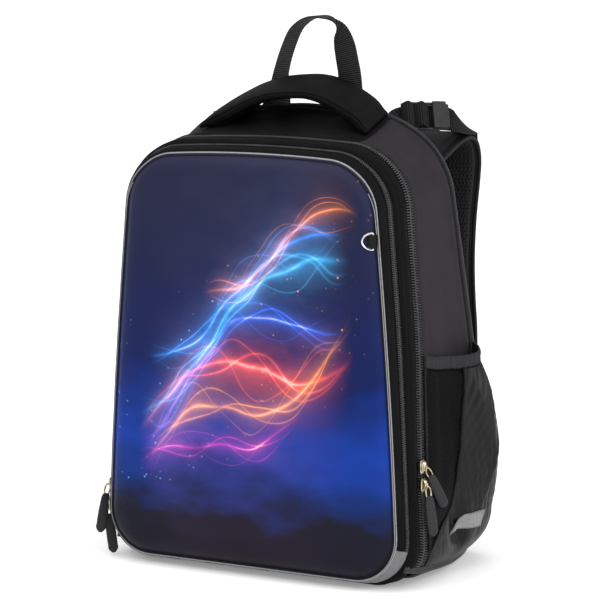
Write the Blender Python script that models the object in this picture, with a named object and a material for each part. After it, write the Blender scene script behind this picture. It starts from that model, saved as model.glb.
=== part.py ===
"""School ransel: a moulded box rucksack with two zipped compartments, padded handle, hanging loop,
side pockets and shoulder straps.

Metres, +Z up. The front panel faces -Y and the straps are at +Y, so +X is the wearer's left.
Every wall, zip and piping is a band on one skin: a rounded outline that changes from the front
seam to the back seam. A band is a closed profile of (depth, inset) pairs carried round that outline.
"""

import math

import bmesh
import bpy
import numpy as np
from mathutils import Matrix, Vector

GAP = 0.0003
ORIGIN_Y = 0.10865

# The skin: outlines of the body from the front seam to the back seam.
# depth and lean place a section: y = depth + lean * z. Halves, heights and radii shape it.
SECTION_COLUMNS = ("depth", "lean", "top_half", "low_half", "top_z", "crown", "low_z", "top_r", "low_r")
SECTIONS = (
    (0.0000, 0.019, 0.1199, 0.1458, 0.3680, 0.0046, 0.0080, 0.0447, 0.0394),
    (0.0120, 0.019, 0.1245, 0.1502, 0.3725, 0.0046, 0.0050, 0.0490, 0.0400),
    (0.0360, 0.019, 0.1296, 0.1554, 0.3777, 0.0046, 0.0035, 0.0530, 0.0340),
    (0.0830, -0.036, 0.1310, 0.1570, 0.3815, 0.0050, 0.0028, 0.0570, 0.0240),
    (0.1250, -0.086, 0.1322, 0.1582, 0.3885, 0.0080, 0.0028, 0.0630, 0.0250),
    (0.1664, -0.135, 0.1332, 0.1591, 0.3960, 0.0110, 0.0040, 0.0660, 0.0300),
)
SIDE_BULGE = 0.0031
CROWN_HALF = 0.105
OUTLINE_STEPS = {"floor": 2, "low_corner": 5, "side": 5, "top_corner": 6, "top": 3}

# Depths of the seams and bands, measured at the floor.
RIM = (0.0015, 0.0095)
ZIP_FRONT = (0.0110, 0.0180)
RIDGE = 0.0225
GUSSET_END = 0.0335
ZIP_MAIN = (0.0345, 0.0425)
SHELL_START = 0.0340
BACK_SEAM = 0.1664
BACK_BEAD = 0.0022
WALL = 0.003

# Front panel: a moulded shell whose rise follows the inset from the front seam.
PANEL_EDGE = 0.0022
PANEL_STEPS = ((0.0022, 0.0006), (0.0045, 0.0020), (0.0085, 0.0060), (0.0170, 0.0088))
PANEL_RINGS = ((0.66, 0.0118), (0.32, 0.0136))
PANEL_MIDDLE = 0.190
PANEL_WALL = 0.003

BACK_RISE = 0.006
BACK_WALL = 0.006
BASE_THICK = 0.0024

# Half ring on the front panel: the flat side stands at x, the bow reaches towards the middle.
RING = {
    "x": 0.1245, "y": 0.0006, "z": 0.3030, "reach": 0.0092, "half": 0.0084, "wire": 0.0010,
    "lean": 0.38, "tab": 0.0100, "tab_reach": 0.0026, "cloth": 0.0007,
}

# Carry handle: rows from the left foot to the right, tilt in degrees with the front edge lower.
HANDLE_COLUMNS = ("x", "y", "z", "width", "thick", "tilt")
HANDLE_ROWS = (
    (0.0860, 0.0895, 0.3950, 0.0410, 0.0052, 22.0),
    (0.0800, 0.0905, 0.3992, 0.0425, 0.0064, 21.0),
    (0.0690, 0.0920, 0.4065, 0.0445, 0.0072, 20.0),
    (0.0540, 0.0925, 0.4140, 0.0450, 0.0084, 20.0),
    (0.0380, 0.0920, 0.4208, 0.0445, 0.0096, 20.0),
    (0.0200, 0.0920, 0.4240, 0.0440, 0.0104, 20.0),
    (0.0000, 0.0920, 0.4234, 0.0440, 0.0106, 20.0),
    (-0.0200, 0.0920, 0.4210, 0.0440, 0.0104, 20.0),
    (-0.0380, 0.0920, 0.4160, 0.0445, 0.0096, 20.0),
    (-0.0540, 0.0925, 0.4095, 0.0450, 0.0084, 20.0),
    (-0.0690, 0.0920, 0.4025, 0.0445, 0.0072, 20.0),
    (-0.0800, 0.0905, 0.3980, 0.0425, 0.0062, 21.0),
    (-0.0860, 0.0895, 0.3948, 0.0410, 0.0052, 22.0),
)

# Hanging loop of webbing behind the handle; turn is the angle of its width, from +X to +Y.
WEBBING = 0.0250
WEBBING_THICK = 0.0016
LOOP_COLUMNS = ("x", "y", "z", "turn")
LOOP_ROWS = (
    (0.0400, 0.1224, 0.3830, 0.0),
    (0.0400, 0.1208, 0.4000, -2.0),
    (0.0398, 0.1222, 0.4150, -6.0),
    (0.0378, 0.1238, 0.4330, -9.0),
    (0.0353, 0.1240, 0.4462, -11.0),
    (0.0325, 0.1242, 0.4594, -15.0),
    (0.0285, 0.1245, 0.4720, -32.0),
    (0.0225, 0.1248, 0.4795, -58.0),
    (0.0142, 0.1250, 0.4834, -80.0),
    (0.0055, 0.1252, 0.4843, -90.0),
    (-0.0035, 0.1255, 0.4824, -90.0),
    (-0.0118, 0.1258, 0.4776, -90.0),
    (-0.0188, 0.1260, 0.4700, -91.0),
    (-0.0272, 0.1262, 0.4520, -92.0),
    (-0.0333, 0.1264, 0.4330, -95.0),
    (-0.0356, 0.1267, 0.4180, -106.0),
    (-0.0366, 0.1262, 0.4090, -128.0),
    (-0.0374, 0.1224, 0.3985, -166.0),
    (-0.0375, 0.1224, 0.3830, -180.0),
)

# Side pockets: stand-off from the side wall over columns of depth and rows of height, and the
# seam between the netting in front and the cloth behind.
POCKET_COLUMNS = ("depth", "swell", "hem_top")
POCKET = (
    (0.0450, 0.0000, 0.2010),
    (0.0620, 0.0060, 0.1980),
    (0.0790, 0.0052, 0.1960),
    (0.0940, 0.0050, 0.1945),
    (0.1070, 0.0140, 0.1935),
    (0.1200, 0.0268, 0.1938),
    (0.1330, 0.0315, 0.1945),
    (0.1460, 0.0233, 0.1975),
    (0.1590, 0.0020, 0.2000),
)
POCKET_FLOOR = 0.0120
POCKET_ROWS = (0.0, 0.09, 0.20, 0.34, 0.50, 0.64, 0.78, 0.91, 1.0)
POCKET_FULL = (0.0, 0.08, 0.34, 0.60, 0.82, 0.95, 1.0, 0.80, 0.52)
POCKET_SEAM = ((0.030, 0.043), (0.042, 0.057), (0.060, 0.077), (0.074, 0.094), (0.098, 0.106),
               (0.125, 0.110), (0.150, 0.117), (0.190, 0.122))
POCKET_WALL = 0.0015
POCKET_STAND = 0.0016
HEM_HEIGHT = 0.0115
HEM_THICK = 0.0024
PATCH_ROWS = (0.12, 0.25)

# Shoulder strap of the wearer's left side: the padded part's middle line and width.
STRAP_COLUMNS = ("x", "y", "z", "width")
STRAP_LINE = (
    (0.0840, 0.1300, 0.3500, 0.070),
    (0.0840, 0.1500, 0.3585, 0.070),
    (0.0840, 0.1780, 0.3700, 0.070),
    (0.0840, 0.2020, 0.3765, 0.070),
    (0.0840, 0.2180, 0.3710, 0.070),
    (0.0840, 0.2240, 0.3550, 0.070),
    (0.0845, 0.2210, 0.3350, 0.070),
    (0.0850, 0.2120, 0.3000, 0.070),
    (0.0860, 0.2060, 0.2650, 0.070),
    (0.0880, 0.2040, 0.2300, 0.069),
    (0.0905, 0.2040, 0.1950, 0.068),
    (0.0930, 0.2020, 0.1600, 0.064),
    (0.0950, 0.1960, 0.1300, 0.056),
    (0.0970, 0.1900, 0.1060, 0.040),
)
STRAP_STEPS = 2
PAD_THICK = 0.0066
LINING_THICK = 0.0024
BINDING_R = 0.0026

BUCKLE = {"wide": 0.0330, "long": 0.0230, "bar": 0.0040, "thick": 0.0032, "lift": 0.0010}

# Webbing runs of the left strap, with the direction of the width at each point.
RUN_COLUMNS = ("x", "y", "z", "wide_x", "wide_y", "wide_z")
LIFTER_RUN = (
    (0.0945, 0.1222, 0.3790, 0.80, 0.0, -0.60),
    (0.0965, 0.1236, 0.3880, 0.74, 0.0, -0.67),
    (0.0982, 0.1310, 0.3950, 0.67, 0.0, -0.74),
    (0.0990, 0.1440, 0.3966, 0.67, 0.0, -0.74),
    (0.1015, 0.1560, 0.3968, 0.67, 0.0, -0.74),
    (0.1040, 0.1670, 0.3962, 0.70, 0.0, -0.71),
    (0.1055, 0.1790, 0.3940, 0.80, 0.0, -0.60),
    (0.1050, 0.1920, 0.3920, 0.93, 0.0, -0.36),
    (0.1030, 0.2050, 0.3900, 0.98, 0.0, -0.18),
    (0.1000, 0.2170, 0.3836, 1.0, 0.0, 0.0),
    (0.0980, 0.2270, 0.3742, 1.0, 0.0, 0.0),
)
LOWER_RUN = (
    (0.0985, 0.1865, 0.0985, 1.0, 0.0, 0.0),
    (0.1010, 0.1830, 0.0800, 1.0, 0.0, 0.0),
    (0.1060, 0.1800, 0.0590, 0.98, 0.0, 0.15),
    (0.1130, 0.1755, 0.0400, 0.94, 0.0, 0.30),
    (0.1200, 0.1705, 0.0260, 0.88, 0.0, 0.45),
)

# Zip pulls: depth and height of each slider, swing to the rear in degrees, lift off the wall, and
# the width of a pull along its length.
PULL_COLUMNS = ("depth", "z", "swing", "lift")
MAIN_PULLS = ((0.0355, 0.1075, 28.0, 0.16), (0.0355, 0.0860, 2.0, 0.07))
FRONT_PULLS = ((0.0145, 0.0625, -22.0, 0.05), (0.0145, 0.0430, 20.0, 0.0))
PULL_ROWS = ((0.0, 0.0034), (0.006, 0.0034), (0.008, 0.0066), (0.014, 0.0080), (0.038, 0.0084), (0.042, 0.0062))


def outline(section, inset):
    """Closed outline of one section, in (x, z), moved inwards by inset: half from floor to top, mirrored."""
    top_half, low_half = section["top_half"], section["low_half"]
    top_z, low_z = section["top_z"] - inset, section["low_z"] + inset
    slope = math.atan2(low_half - top_half, section["top_z"] - section["low_z"])
    top_r = max(section["top_r"] - inset, 0.002)
    low_r = max(section["low_r"] - inset, 0.002)

    def corner(z_line, radius, side):
        z = z_line - side * radius
        at = low_half - (z - section["low_z"]) * math.tan(slope)
        return at - (inset + radius) / math.cos(slope), z

    low_x, low_c = corner(low_z, low_r, -1)
    top_x, top_c = corner(top_z, top_r, 1)
    steps = OUTLINE_STEPS
    half = [(low_x * k / steps["floor"], low_z) for k in range(steps["floor"])]
    turn = math.pi / 2 + slope
    for k in range(steps["low_corner"] + 1):
        a = -math.pi / 2 + turn * k / steps["low_corner"]
        half.append((low_x + low_r * math.cos(a), low_c + low_r * math.sin(a)))
    a = slope
    high = (top_x + top_r * math.cos(a), top_c + top_r * math.sin(a))
    low = half[-1]
    for k in range(1, steps["side"]):
        t = k / steps["side"]
        half.append((low[0] + (high[0] - low[0]) * t, low[1] + (high[1] - low[1]) * t))
    for k in range(steps["top_corner"] + 1):
        a = slope + (math.pi / 2 - slope) * k / steps["top_corner"]
        half.append((top_x + top_r * math.cos(a), top_c + top_r * math.sin(a)))
    half += [(top_x * (1 - k / steps["top"]), top_z) for k in range(1, steps["top"] + 1)]
    points = half + [(-x, z) for x, z in half[-2:0:-1]]
    shaped = []
    for x, z in points:
        share = min(max((z - low_z) / (top_z - low_z), 0.0), 1.0)
        side = math.copysign(min(abs(x) / low_half, 1.0), x)
        arch = max(0.0, 1.0 - (x / CROWN_HALF) ** 2) if z > top_z - top_r else 0.0
        shaped.append((x + SIDE_BULGE * math.sin(math.pi * share) * side, z + section["crown"] * arch))
    return shaped


def section_at(depth):
    """The skin's section at a depth, interpolated between the table's rows."""
    depths = [row[0] for row in SECTIONS]
    return {
        name: float(np.interp(depth, depths, [row[k] for row in SECTIONS]))
        for k, name in enumerate(SECTION_COLUMNS)
    } | {"depth": depth}


def skin_loop(depth, inset=0.0, shift=0.0):
    """The skin's outline at a depth as points in space, shifted along Y."""
    section = section_at(depth)
    return [Vector((x, depth + section["lean"] * z + shift, z)) for x, z in outline(section, inset)]


POINTS = len(skin_loop(0.0))
FLOOR_END = OUTLINE_STEPS["floor"]
SIDE_START = FLOOR_END + OUTLINE_STEPS["low_corner"]


def material(name, colour, rough, metal=0.0):
    made = bpy.data.materials.new(name)
    made.use_nodes = True
    shader = made.node_tree.nodes["Principled BSDF"]
    shader.inputs["Base Color"].default_value = (*colour, 1.0)
    shader.inputs["Roughness"].default_value = rough
    shader.inputs["Metallic"].default_value = metal
    return made


def add_solid(name, loops, finish, closed=False, smooth=True):
    """One closed solid through loops of equal length; open runs get a cap at each end."""
    bm = bmesh.new()
    rows = [[bm.verts.new(point) for point in loop] for loop in loops]
    pairs = list(zip(rows, rows[1:])) + ([(rows[-1], rows[0])] if closed else [])
    for first, second in pairs:
        for k in range(len(first)):
            n = (k + 1) % len(first)
            bm.faces.new((first[k], first[n], second[n], second[k]))
    if not closed:
        bm.faces.new(rows[0][::-1])
        bm.faces.new(rows[-1])
    bmesh.ops.triangulate(bm, faces=bm.faces, quad_method="SHORT_EDGE")
    bmesh.ops.recalc_face_normals(bm, faces=bm.faces)
    mesh = bpy.data.meshes.new(name)
    bm.to_mesh(mesh)
    bm.free()
    if smooth:
        mesh.shade_smooth()
        mesh.set_sharp_from_angle(angle=math.radians(40))
    mesh.materials.append(finish)
    made = bpy.data.objects.new(name, mesh)
    bpy.context.scene.collection.objects.link(made)
    return made


def band(name, profile, finish, span=None):
    """A band on the skin: profile is a closed list of (depth, inset) pairs, or with a shift added.
    span is the first and last point of an open run round the outline, whose ends stop short of
    the next run, and None carries the band all the way round."""
    rings = [skin_loop(*place) for place in profile]
    if span is None:
        loops = [[ring[k] for ring in rings] for k in range(POINTS)]
        return add_solid(name, loops, finish, closed=True)
    first, last = span
    loops = [[ring[k % POINTS] for ring in rings] for k in range(first, last + 1)]
    for end, near in ((0, 1), (-1, -2)):
        loops[end] = [p + (q - p).normalized() * GAP for p, q in zip(loops[end], loops[near])]
    return add_solid(name, loops, finish)


def bead(depth, inset, radius, sides=6):
    """A round profile for piping, at a depth and inset of the skin."""
    turns = [math.tau * (k + 0.5) / sides for k in range(sides)]
    return [(depth, inset + radius * math.sin(a), radius * math.cos(a)) for a in turns]


def mirrored(loops):
    return [[Vector((-p.x, p.y, p.z)) for p in loop] for loop in loops]


def add_pair(name, loops, finish):
    """The same solid on both sides of the bag."""
    return [add_solid(f"{name}_left", loops, finish), add_solid(f"{name}_right", mirrored(loops), finish)]


def ribbon_section(centre, across, normal, width, thick, corner=0.0):
    """Section of a strap: a rectangle, or with a corner share a rounded one of eight points."""
    w, t = across * (width / 2), normal * (thick / 2)
    if corner == 0.0:
        return [centre - w - t, centre + w - t, centre + w + t, centre - w + t]
    a, b = 1.0 - corner * thick / width, 1.0 - corner
    return [
        centre + w * x + t * y
        for x, y in ((-a, -1), (a, -1), (1, -b), (1, b), (a, 1), (-a, 1), (-1, b), (-1, -b))
    ]


def smooth_line(rows, steps):
    """A Catmull-Rom curve through table rows, sampled steps times between each two."""
    rows = [np.array(row, float) for row in rows]
    padded = [2 * rows[0] - rows[1], *rows, 2 * rows[-1] - rows[-2]]
    out = []
    for k in range(1, len(padded) - 2):
        a, b, c, d = padded[k - 1 : k + 3]
        for j in range(steps):
            t = j / steps
            out.append(0.5 * (2 * b + (c - a) * t + (2 * a - 5 * b + 4 * c - d) * t**2 + (3 * b - 3 * c + d - a) * t**3))
    out.append(rows[-1])
    return out


def tangents(points):
    last = len(points) - 1
    return [(points[min(k + 1, last)] - points[max(k - 1, 0)]).normalized() for k in range(last + 1)]


def front_panel(finish):
    """Moulded front shell: rings inset from the front seam, then rings scaled towards its middle."""

    def rings(steps, wall, squeeze):
        made = []
        for inset, rise in steps:
            loop = skin_loop(0.0, inset + squeeze)
            made.append([Vector((p.x, p.y - rise + wall, p.z)) for p in loop])
        last = skin_loop(0.0, PANEL_STEPS[-1][0])
        for share, rise in PANEL_RINGS:
            z_of = [PANEL_MIDDLE + (p.z - PANEL_MIDDLE) * share for p in last]
            made.append([Vector((p.x * share, 0.019 * p.z - rise + wall, z)) for p, z in zip(last, z_of)])
        return made

    outer = rings(PANEL_STEPS, 0.0, 0.0)
    inner = rings(PANEL_STEPS[1:], PANEL_WALL, 0.0018)
    edge = [Vector((p.x, p.y + 0.0010, p.z)) for p in skin_loop(0.0, PANEL_EDGE)]
    return add_solid("front_panel", outer[::-1] + [edge] + inner, finish)


def side_point(depth, z, off=0.0):
    """Point of the left side wall at a depth and height, stood off from the wall."""
    section = section_at(depth)
    half = outline(section, 0.0)[FLOOR_END : SIDE_START + OUTLINE_STEPS["side"] + 3]
    x = float(np.interp(z, [p[1] for p in half], [p[0] for p in half]))
    return Vector((x + off, depth + section["lean"] * z, z))


def zip_profile(run, proud):
    """Tape of a zip with its raised coil down the middle, lying on the skin."""
    middle = (run[0] + run[1]) / 2
    half = (run[1] - run[0]) * 0.28
    return [
        (run[0], -0.0003),
        (run[0], -0.0009),
        (middle - half, -0.0010),
        (middle - half * 0.6, -0.0012 - proud),
        (middle + half * 0.6, -0.0012 - proud),
        (middle + half, -0.0010),
        (run[1], -0.0009),
        (run[1], -0.0003),
    ]


def build_body(finishes):
    """The walls of the body, with the zips and pipings laid on them."""
    cloth, trim = finishes["cloth"], finishes["trim"]
    front_panel(finishes["print"])
    band("front_piping", bead(-0.0008, 0.0002, 0.0019), finishes["grey"])
    top_run = (SIDE_START - 1, POINTS - SIDE_START + 1)
    floor_run = (top_run[1], POINTS + top_run[0])
    rim = [
        (RIM[0], -0.0003),
        (RIM[0] + 0.0015, -0.0018),
        (RIM[1] - 0.0015, -0.0018),
        (RIM[1], -0.0003),
    ]
    band("rim_roll", rim, cloth, top_run)
    low_band = [(RIM[0], -0.0003), (RIM[0], -0.0015), (ZIP_FRONT[1], -0.0015), (ZIP_FRONT[1], -0.0003)]
    band("reflective_band", low_band, finishes["grey"], floor_run)
    band("zip_front", zip_profile(ZIP_FRONT, 0.0008), finishes["zip"], top_run)
    gusset = [
        (RIM[0], 0.0),
        (RIDGE - 0.002, 0.0),
        (RIDGE, -0.0016),
        (RIDGE + 0.002, 0.0),
        (GUSSET_END, 0.0),
        (GUSSET_END, WALL),
        (RIM[0], WALL),
    ]
    band("front_gusset", gusset, cloth)
    end = -BACK_BEAD - GAP
    outer = [(SHELL_START, 0.0), (0.060, 0.0), (0.083, 0.0), (0.125, 0.0), (BACK_SEAM, 0.0, end)]
    inner = [(BACK_SEAM, WALL, end), (0.125, WALL), (0.083, WALL), (SHELL_START, WALL)]
    band("main_shell", outer + inner, cloth)
    band("zip_main", zip_profile(ZIP_MAIN, 0.0012), finishes["zip"], (SIDE_START, POINTS - SIDE_START))
    band("back_piping", bead(BACK_SEAM, 0.0004, BACK_BEAD), trim)
    back_panel(finishes["pad"])
    base_skid(trim)
    base_trims(trim)


def back_panel(finish):
    """Padded back: rings inset from the back seam, rising behind it, closed by a flat middle."""

    def ring(inset, rise):
        return skin_loop(BACK_SEAM, inset, rise)

    outer = [ring(0.0030, 0.0), ring(0.0050, 0.0030), ring(0.0110, BACK_RISE), ring(0.0300, BACK_RISE)]
    inner = [ring(0.0300, BACK_RISE - BACK_WALL), ring(0.0080, -0.0018), ring(0.0030, -0.0018)]
    return add_solid("back_panel", outer[::-1] + inner[::-1], finish)


def base_skid(finish):
    """Flat base plate on the floor under the body."""
    middle, half_x, half_y, radius = 0.090, 0.126, 0.056, 0.030
    ring = []
    for side, (sx, sy) in enumerate(((1, 1), (-1, 1), (-1, -1), (1, -1))):
        for k in range(4):
            a = math.pi / 2 * (side + k / 3)
            x = sx * (half_x - radius) + radius * math.cos(a)
            y = middle + sy * (half_y - radius) + radius * math.sin(a)
            ring.append(Vector((x, y, 0.0)))
    high = [p + Vector((0.0, 0.0, BASE_THICK)) for p in ring]
    return add_solid("base_plate", [ring, high], finish, smooth=False)


def tube(points, radius, sides=5):
    """Loops of a round cord along points."""
    loops = []
    side = Vector((0.31, 0.93, 0.17))
    for point, along in zip(points, tangents(points)):
        side = (side - along * side.dot(along)).normalized()
        other = along.cross(side).normalized()
        turns = [math.tau * k / sides for k in range(sides)]
        loops.append([point + side * radius * math.cos(a) + other * radius * math.sin(a) for a in turns])
    return loops


def base_trims(finish):
    """Piped seam low on each side, falling from the front to the back."""
    rows = ((0.0350, 0.0130), (0.0460, 0.0092), (0.0740, 0.0062), (0.1150, 0.0052), (0.1500, 0.0050))
    points = [side_point(depth, z, 0.0) + Vector((0.0020, 0.0, -0.0020)) for depth, z in rows]
    add_pair("base_trim", tube(points, 0.0014), finish)


def build_handle(finishes):
    rows = HANDLE_ROWS
    centres = [Vector(row[:3]) for row in rows]
    loops = []
    for centre, along, row in zip(centres, tangents(centres), rows):
        tilt = math.radians(row[5])
        across = Vector((0.0, math.cos(tilt), math.sin(tilt)))
        across = (across - along * across.dot(along)).normalized()
        loops.append(ribbon_section(centre, across, along.cross(across), row[3], row[4], 0.6))
    add_solid("carry_handle", loops, finishes["smooth"])
    rows = smooth_line(LOOP_ROWS, 2)
    centres = [Vector(row[:3]) for row in rows]
    loops = []
    for centre, along, row in zip(centres, tangents(centres), rows):
        turn = math.radians(row[3])
        across = Vector((math.cos(turn), math.sin(turn), 0.0))
        across = (across - along * across.dot(along)).normalized()
        loops.append(ribbon_section(centre, across, along.cross(across), WEBBING, WEBBING_THICK))
    add_solid("hang_loop", loops, finishes["webbing"])


def pocket_point(depth, share, off):
    """Point of the left pocket's cloth at a depth, a share of its height and a stand-off."""
    columns = [[row[k] for row in POCKET] for k in range(3)]
    swell = float(np.interp(depth, columns[0], columns[1]))
    top = float(np.interp(depth, columns[0], columns[2])) - HEM_HEIGHT - GAP
    z = POCKET_FLOOR + (top - POCKET_FLOOR) * share
    full = float(np.interp(share, POCKET_ROWS, POCKET_FULL))
    return side_point(depth, z, swell * full + off)


def pocket_depth(y, z):
    """Depth of the skin whose side wall passes y at height z."""
    depths = [row[0] for row in SECTIONS]
    return float(np.interp(y, [row[0] + row[1] * z for row in SECTIONS], depths))


def cloth_loops(grid_at, rows, columns):
    """Closed loops of a cloth wall: each row runs along the outside and back along the inside."""
    loops = []
    for row in rows:
        out = [grid_at(column, row, POCKET_STAND + POCKET_WALL) for column in columns]
        back = [grid_at(column, row, POCKET_STAND) for column in columns[::-1]]
        loops.append(out + back)
    return loops


def build_pockets(finishes):
    first, last = POCKET[0][0], POCKET[-1][0]
    seam_z, seam_y = zip(*POCKET_SEAM)
    high = POCKET[4][2] - HEM_HEIGHT

    def seam(share):
        z = POCKET_FLOOR + (high - POCKET_FLOOR) * share
        return pocket_depth(float(np.interp(z, seam_z, seam_y)), z)

    def netting(column, share, off):
        return pocket_point(first + (seam(share) - 0.0002 - first) * column, share, off)

    def cloth(column, share, off):
        start = max(seam(share), first) + 0.0002
        return pocket_point(start + (last - start) * column, share, off)

    shares = [0.0, 0.06, PATCH_ROWS[0], PATCH_ROWS[1], 0.40, 0.55, 0.70, 0.85, 1.0]
    low_share = (0.036 - POCKET_FLOOR) / (high - POCKET_FLOOR)
    net_shares = [low_share] + [share for share in shares if share > low_share + 0.02]
    steps = [k / 6 for k in range(7)]
    add_pair("pocket_netting", cloth_loops(netting, net_shares, steps), finishes["mesh"])
    wide = [k / 8 for k in range(9)]
    add_pair("pocket_cloth", cloth_loops(cloth, shares, wide), finishes["satin"])
    loops = []
    for depth in np.linspace(first, last, 13):
        foot = pocket_point(depth, 1.0, POCKET_STAND + POCKET_WALL / 2 - HEM_THICK / 2)
        lift = Vector((0.0, 0.0, 0.0009))
        out = Vector((HEM_THICK, 0.0, 0.0))
        up = Vector((0.0, 0.0, HEM_HEIGHT))
        foot += lift
        loops.append([foot, foot + out, foot + out + up, foot + up])
    add_pair("pocket_hem", loops, finishes["trim"])
    loops = []
    skin = POCKET_STAND + POCKET_WALL
    for share in PATCH_ROWS:
        outer = [cloth(column, share, skin + 0.0021) for column in wide[3:8]]
        inner = [cloth(column, share, skin + 0.0011) for column in wide[7:2:-1]]
        loops.append(outer + inner)
    add_pair("pocket_patch", loops, finishes["grey"])


def build_straps(finishes):
    rows = smooth_line(STRAP_LINE, STRAP_STEPS)
    centres = [Vector(row[:3]) for row in rows]
    side = Vector((1.0, 0.0, 0.0))
    frames = []
    for centre, along, row in zip(centres, tangents(centres), rows):
        across = (side - along * side.dot(along)).normalized()
        frames.append((centre, across, along.cross(across).normalized(), row[3]))
    pad, lining = [], []
    for centre, across, out, width in frames:
        clear = 4 * BINDING_R + 2 * GAP
        pad.append(ribbon_section(centre - out * PAD_THICK / 2, across, out, width - clear, PAD_THICK, 0.5))
        low = centre + out * (LINING_THICK / 2 + GAP)
        lining.append(ribbon_section(low, across, out, width - clear, LINING_THICK))
    add_pair("strap_pad", pad, finishes["pad"])
    add_pair("strap_lining", lining, finishes["mesh"])
    outer = [c + a * (w / 2 - BINDING_R) - o * 0.002 for c, a, o, w in frames]
    inner = [c - a * (w / 2 - BINDING_R) - o * 0.002 for c, a, o, w in frames]
    end, across, out, width = frames[-1]
    drop = (centres[-1] - centres[-2]).normalized() * (BINDING_R + 0.0050)
    turn = [end + across * width * share + drop - out * 0.002 for share in (0.30, 0.0, -0.30)]
    add_pair("strap_binding", tube(outer + turn + inner[::-1], BINDING_R, 4), finishes["trim"])


def run_loops(rows, width, thick, steps=1):
    """Loops of a webbing run whose rows give its points and the direction of its width."""
    rows = smooth_line(rows, steps)
    centres = [Vector(row[:3]) for row in rows]
    loops = []
    for centre, along, row in zip(centres, tangents(centres), rows):
        across = Vector(row[3:])
        across = (across - along * across.dot(along)).normalized()
        loops.append(ribbon_section(centre, across, along.cross(across), width, thick))
    return loops


def buckle_loops(centre, across, along, out):
    """Loops of a rectangular frame lying flat: its outside, and a window narrower by the bar."""
    wide, long_, bar, thick = (BUCKLE[name] for name in ("wide", "long", "bar", "thick"))
    loops = []
    for sx, sy in ((1, 1), (-1, 1), (-1, -1), (1, -1)):
        edge = centre + across * (sx * wide / 2) + along * (sy * long_ / 2)
        hole = centre + across * (sx * (wide / 2 - bar)) + along * (sy * (long_ / 2 - bar))
        t = out * (thick / 2)
        loops.append([edge - t, edge + t, hole + t, hole - t])
    return loops


def build_webbing(finishes):
    """Webbing runs of the straps, each with a ladder buckle lying on it."""
    runs = (("lifter", LIFTER_RUN, 4, 1.0), ("lower", LOWER_RUN, 1, 1.0))
    for name, rows, spot, face in runs:
        add_pair(f"{name}_webbing", run_loops(rows, WEBBING, WEBBING_THICK, 2), finishes["webbing"])
        centres = [Vector(row[:3]) for row in rows]
        along = tangents(centres)[spot]
        across = Vector(rows[spot][3:])
        across = (across - along * across.dot(along)).normalized()
        out = across.cross(along).normalized() * face
        lift = (WEBBING_THICK + BUCKLE["thick"]) / 2 + BUCKLE["lift"]
        loops = buckle_loops(centres[spot] + out * lift, across, along, out)
        for side, group in (("left", loops), ("right", mirrored(loops))):
            add_solid(f"{name}_buckle_{side}", group, finishes["plastic"], closed=True, smooth=False)


def build_pulls(finishes):
    """Zip sliders and their rubber pulls: two on the front zip, two on the main zip."""
    for number, (depth, z, swing, lift) in enumerate(MAIN_PULLS, 1):
        spot = side_point(depth, z, 0.0052)
        place_pull(f"main_slider_{number}", f"main_pull_{number}", spot, 1.0, swing, lift, finishes)
    for number, (depth, z, swing, lift) in enumerate(FRONT_PULLS, 1):
        spot = side_point(depth, z, 0.0056)
        spot.x = -spot.x
        place_pull(f"front_slider_{number}", f"front_pull_{number}", spot, -1.0, swing, lift, finishes)


def place_pull(slider_name, pull_name, spot, out, swing, lift, finishes):
    """One slider at spot on a side wall facing out, and its pull hanging below, swung to the rear
    and lifted off the wall."""
    up, back = Vector((0.0, 0.0, 1.0)), Vector((0.0, 1.0, 0.0))
    off = Vector((out, 0.0, 0.0))
    loops = []
    for step, share in ((-0.0055, 0.75), (-0.0030, 1.0), (0.0030, 1.0), (0.0055, 0.8)):
        loops.append(ribbon_section(spot + up * step, back, off, 0.0078 * share, 0.0044))
    add_solid(slider_name, loops, finishes["brass"], smooth=False)
    turn = math.radians(swing)
    down = (Vector((0.0, math.sin(turn), -math.cos(turn))) + off * lift).normalized()
    wide = Vector((0.0, math.cos(turn), math.sin(turn)))
    start = spot + off * 0.0042 - up * 0.001
    loops = []
    for length, width in PULL_ROWS:
        loops.append(ribbon_section(start + down * length, wide, off, width, 0.0030))
    add_solid(pull_name, loops, finishes["rubber"], smooth=False)


def build_ring(finishes):
    """Half ring on the front panel near its right edge, its straight bar held in a folded tab."""
    middle = Vector((RING["x"], RING["y"], RING["z"]))
    points = []
    for k in range(11):
        a = math.pi / 2 + math.pi * k / 10
        reach = RING["reach"] * math.cos(a)
        points.append(middle + Vector((reach, RING["lean"] * reach, RING["half"] * math.sin(a))))
    bar = [middle + Vector((0.0004, 0.0, RING["half"] * share)) for share in (-0.6, 0.0, 0.6)]
    add_solid("d_ring", tube(points + bar, RING["wire"], 6), finishes["nickel"], closed=True)
    hold = RING["wire"] + 0.0005
    cloth = hold + RING["cloth"]
    end = RING["tab_reach"]
    outside = ((end, cloth), (-cloth, cloth), (-cloth, -cloth), (end, -cloth))
    inside = ((end, hold), (-hold, hold), (-hold, -hold), (end, -hold))
    low, high = -RING["tab"] / 2, RING["tab"] / 2
    loops = []
    for (x, y), (inner_x, inner_y) in zip(outside, inside):
        corners = ((x, y, low), (x, y, high), (inner_x, inner_y, high), (inner_x, inner_y, low))
        loops.append([middle + Vector(corner) for corner in corners])
    add_solid("d_ring_tab", loops, finishes["trim"], smooth=False)


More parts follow.
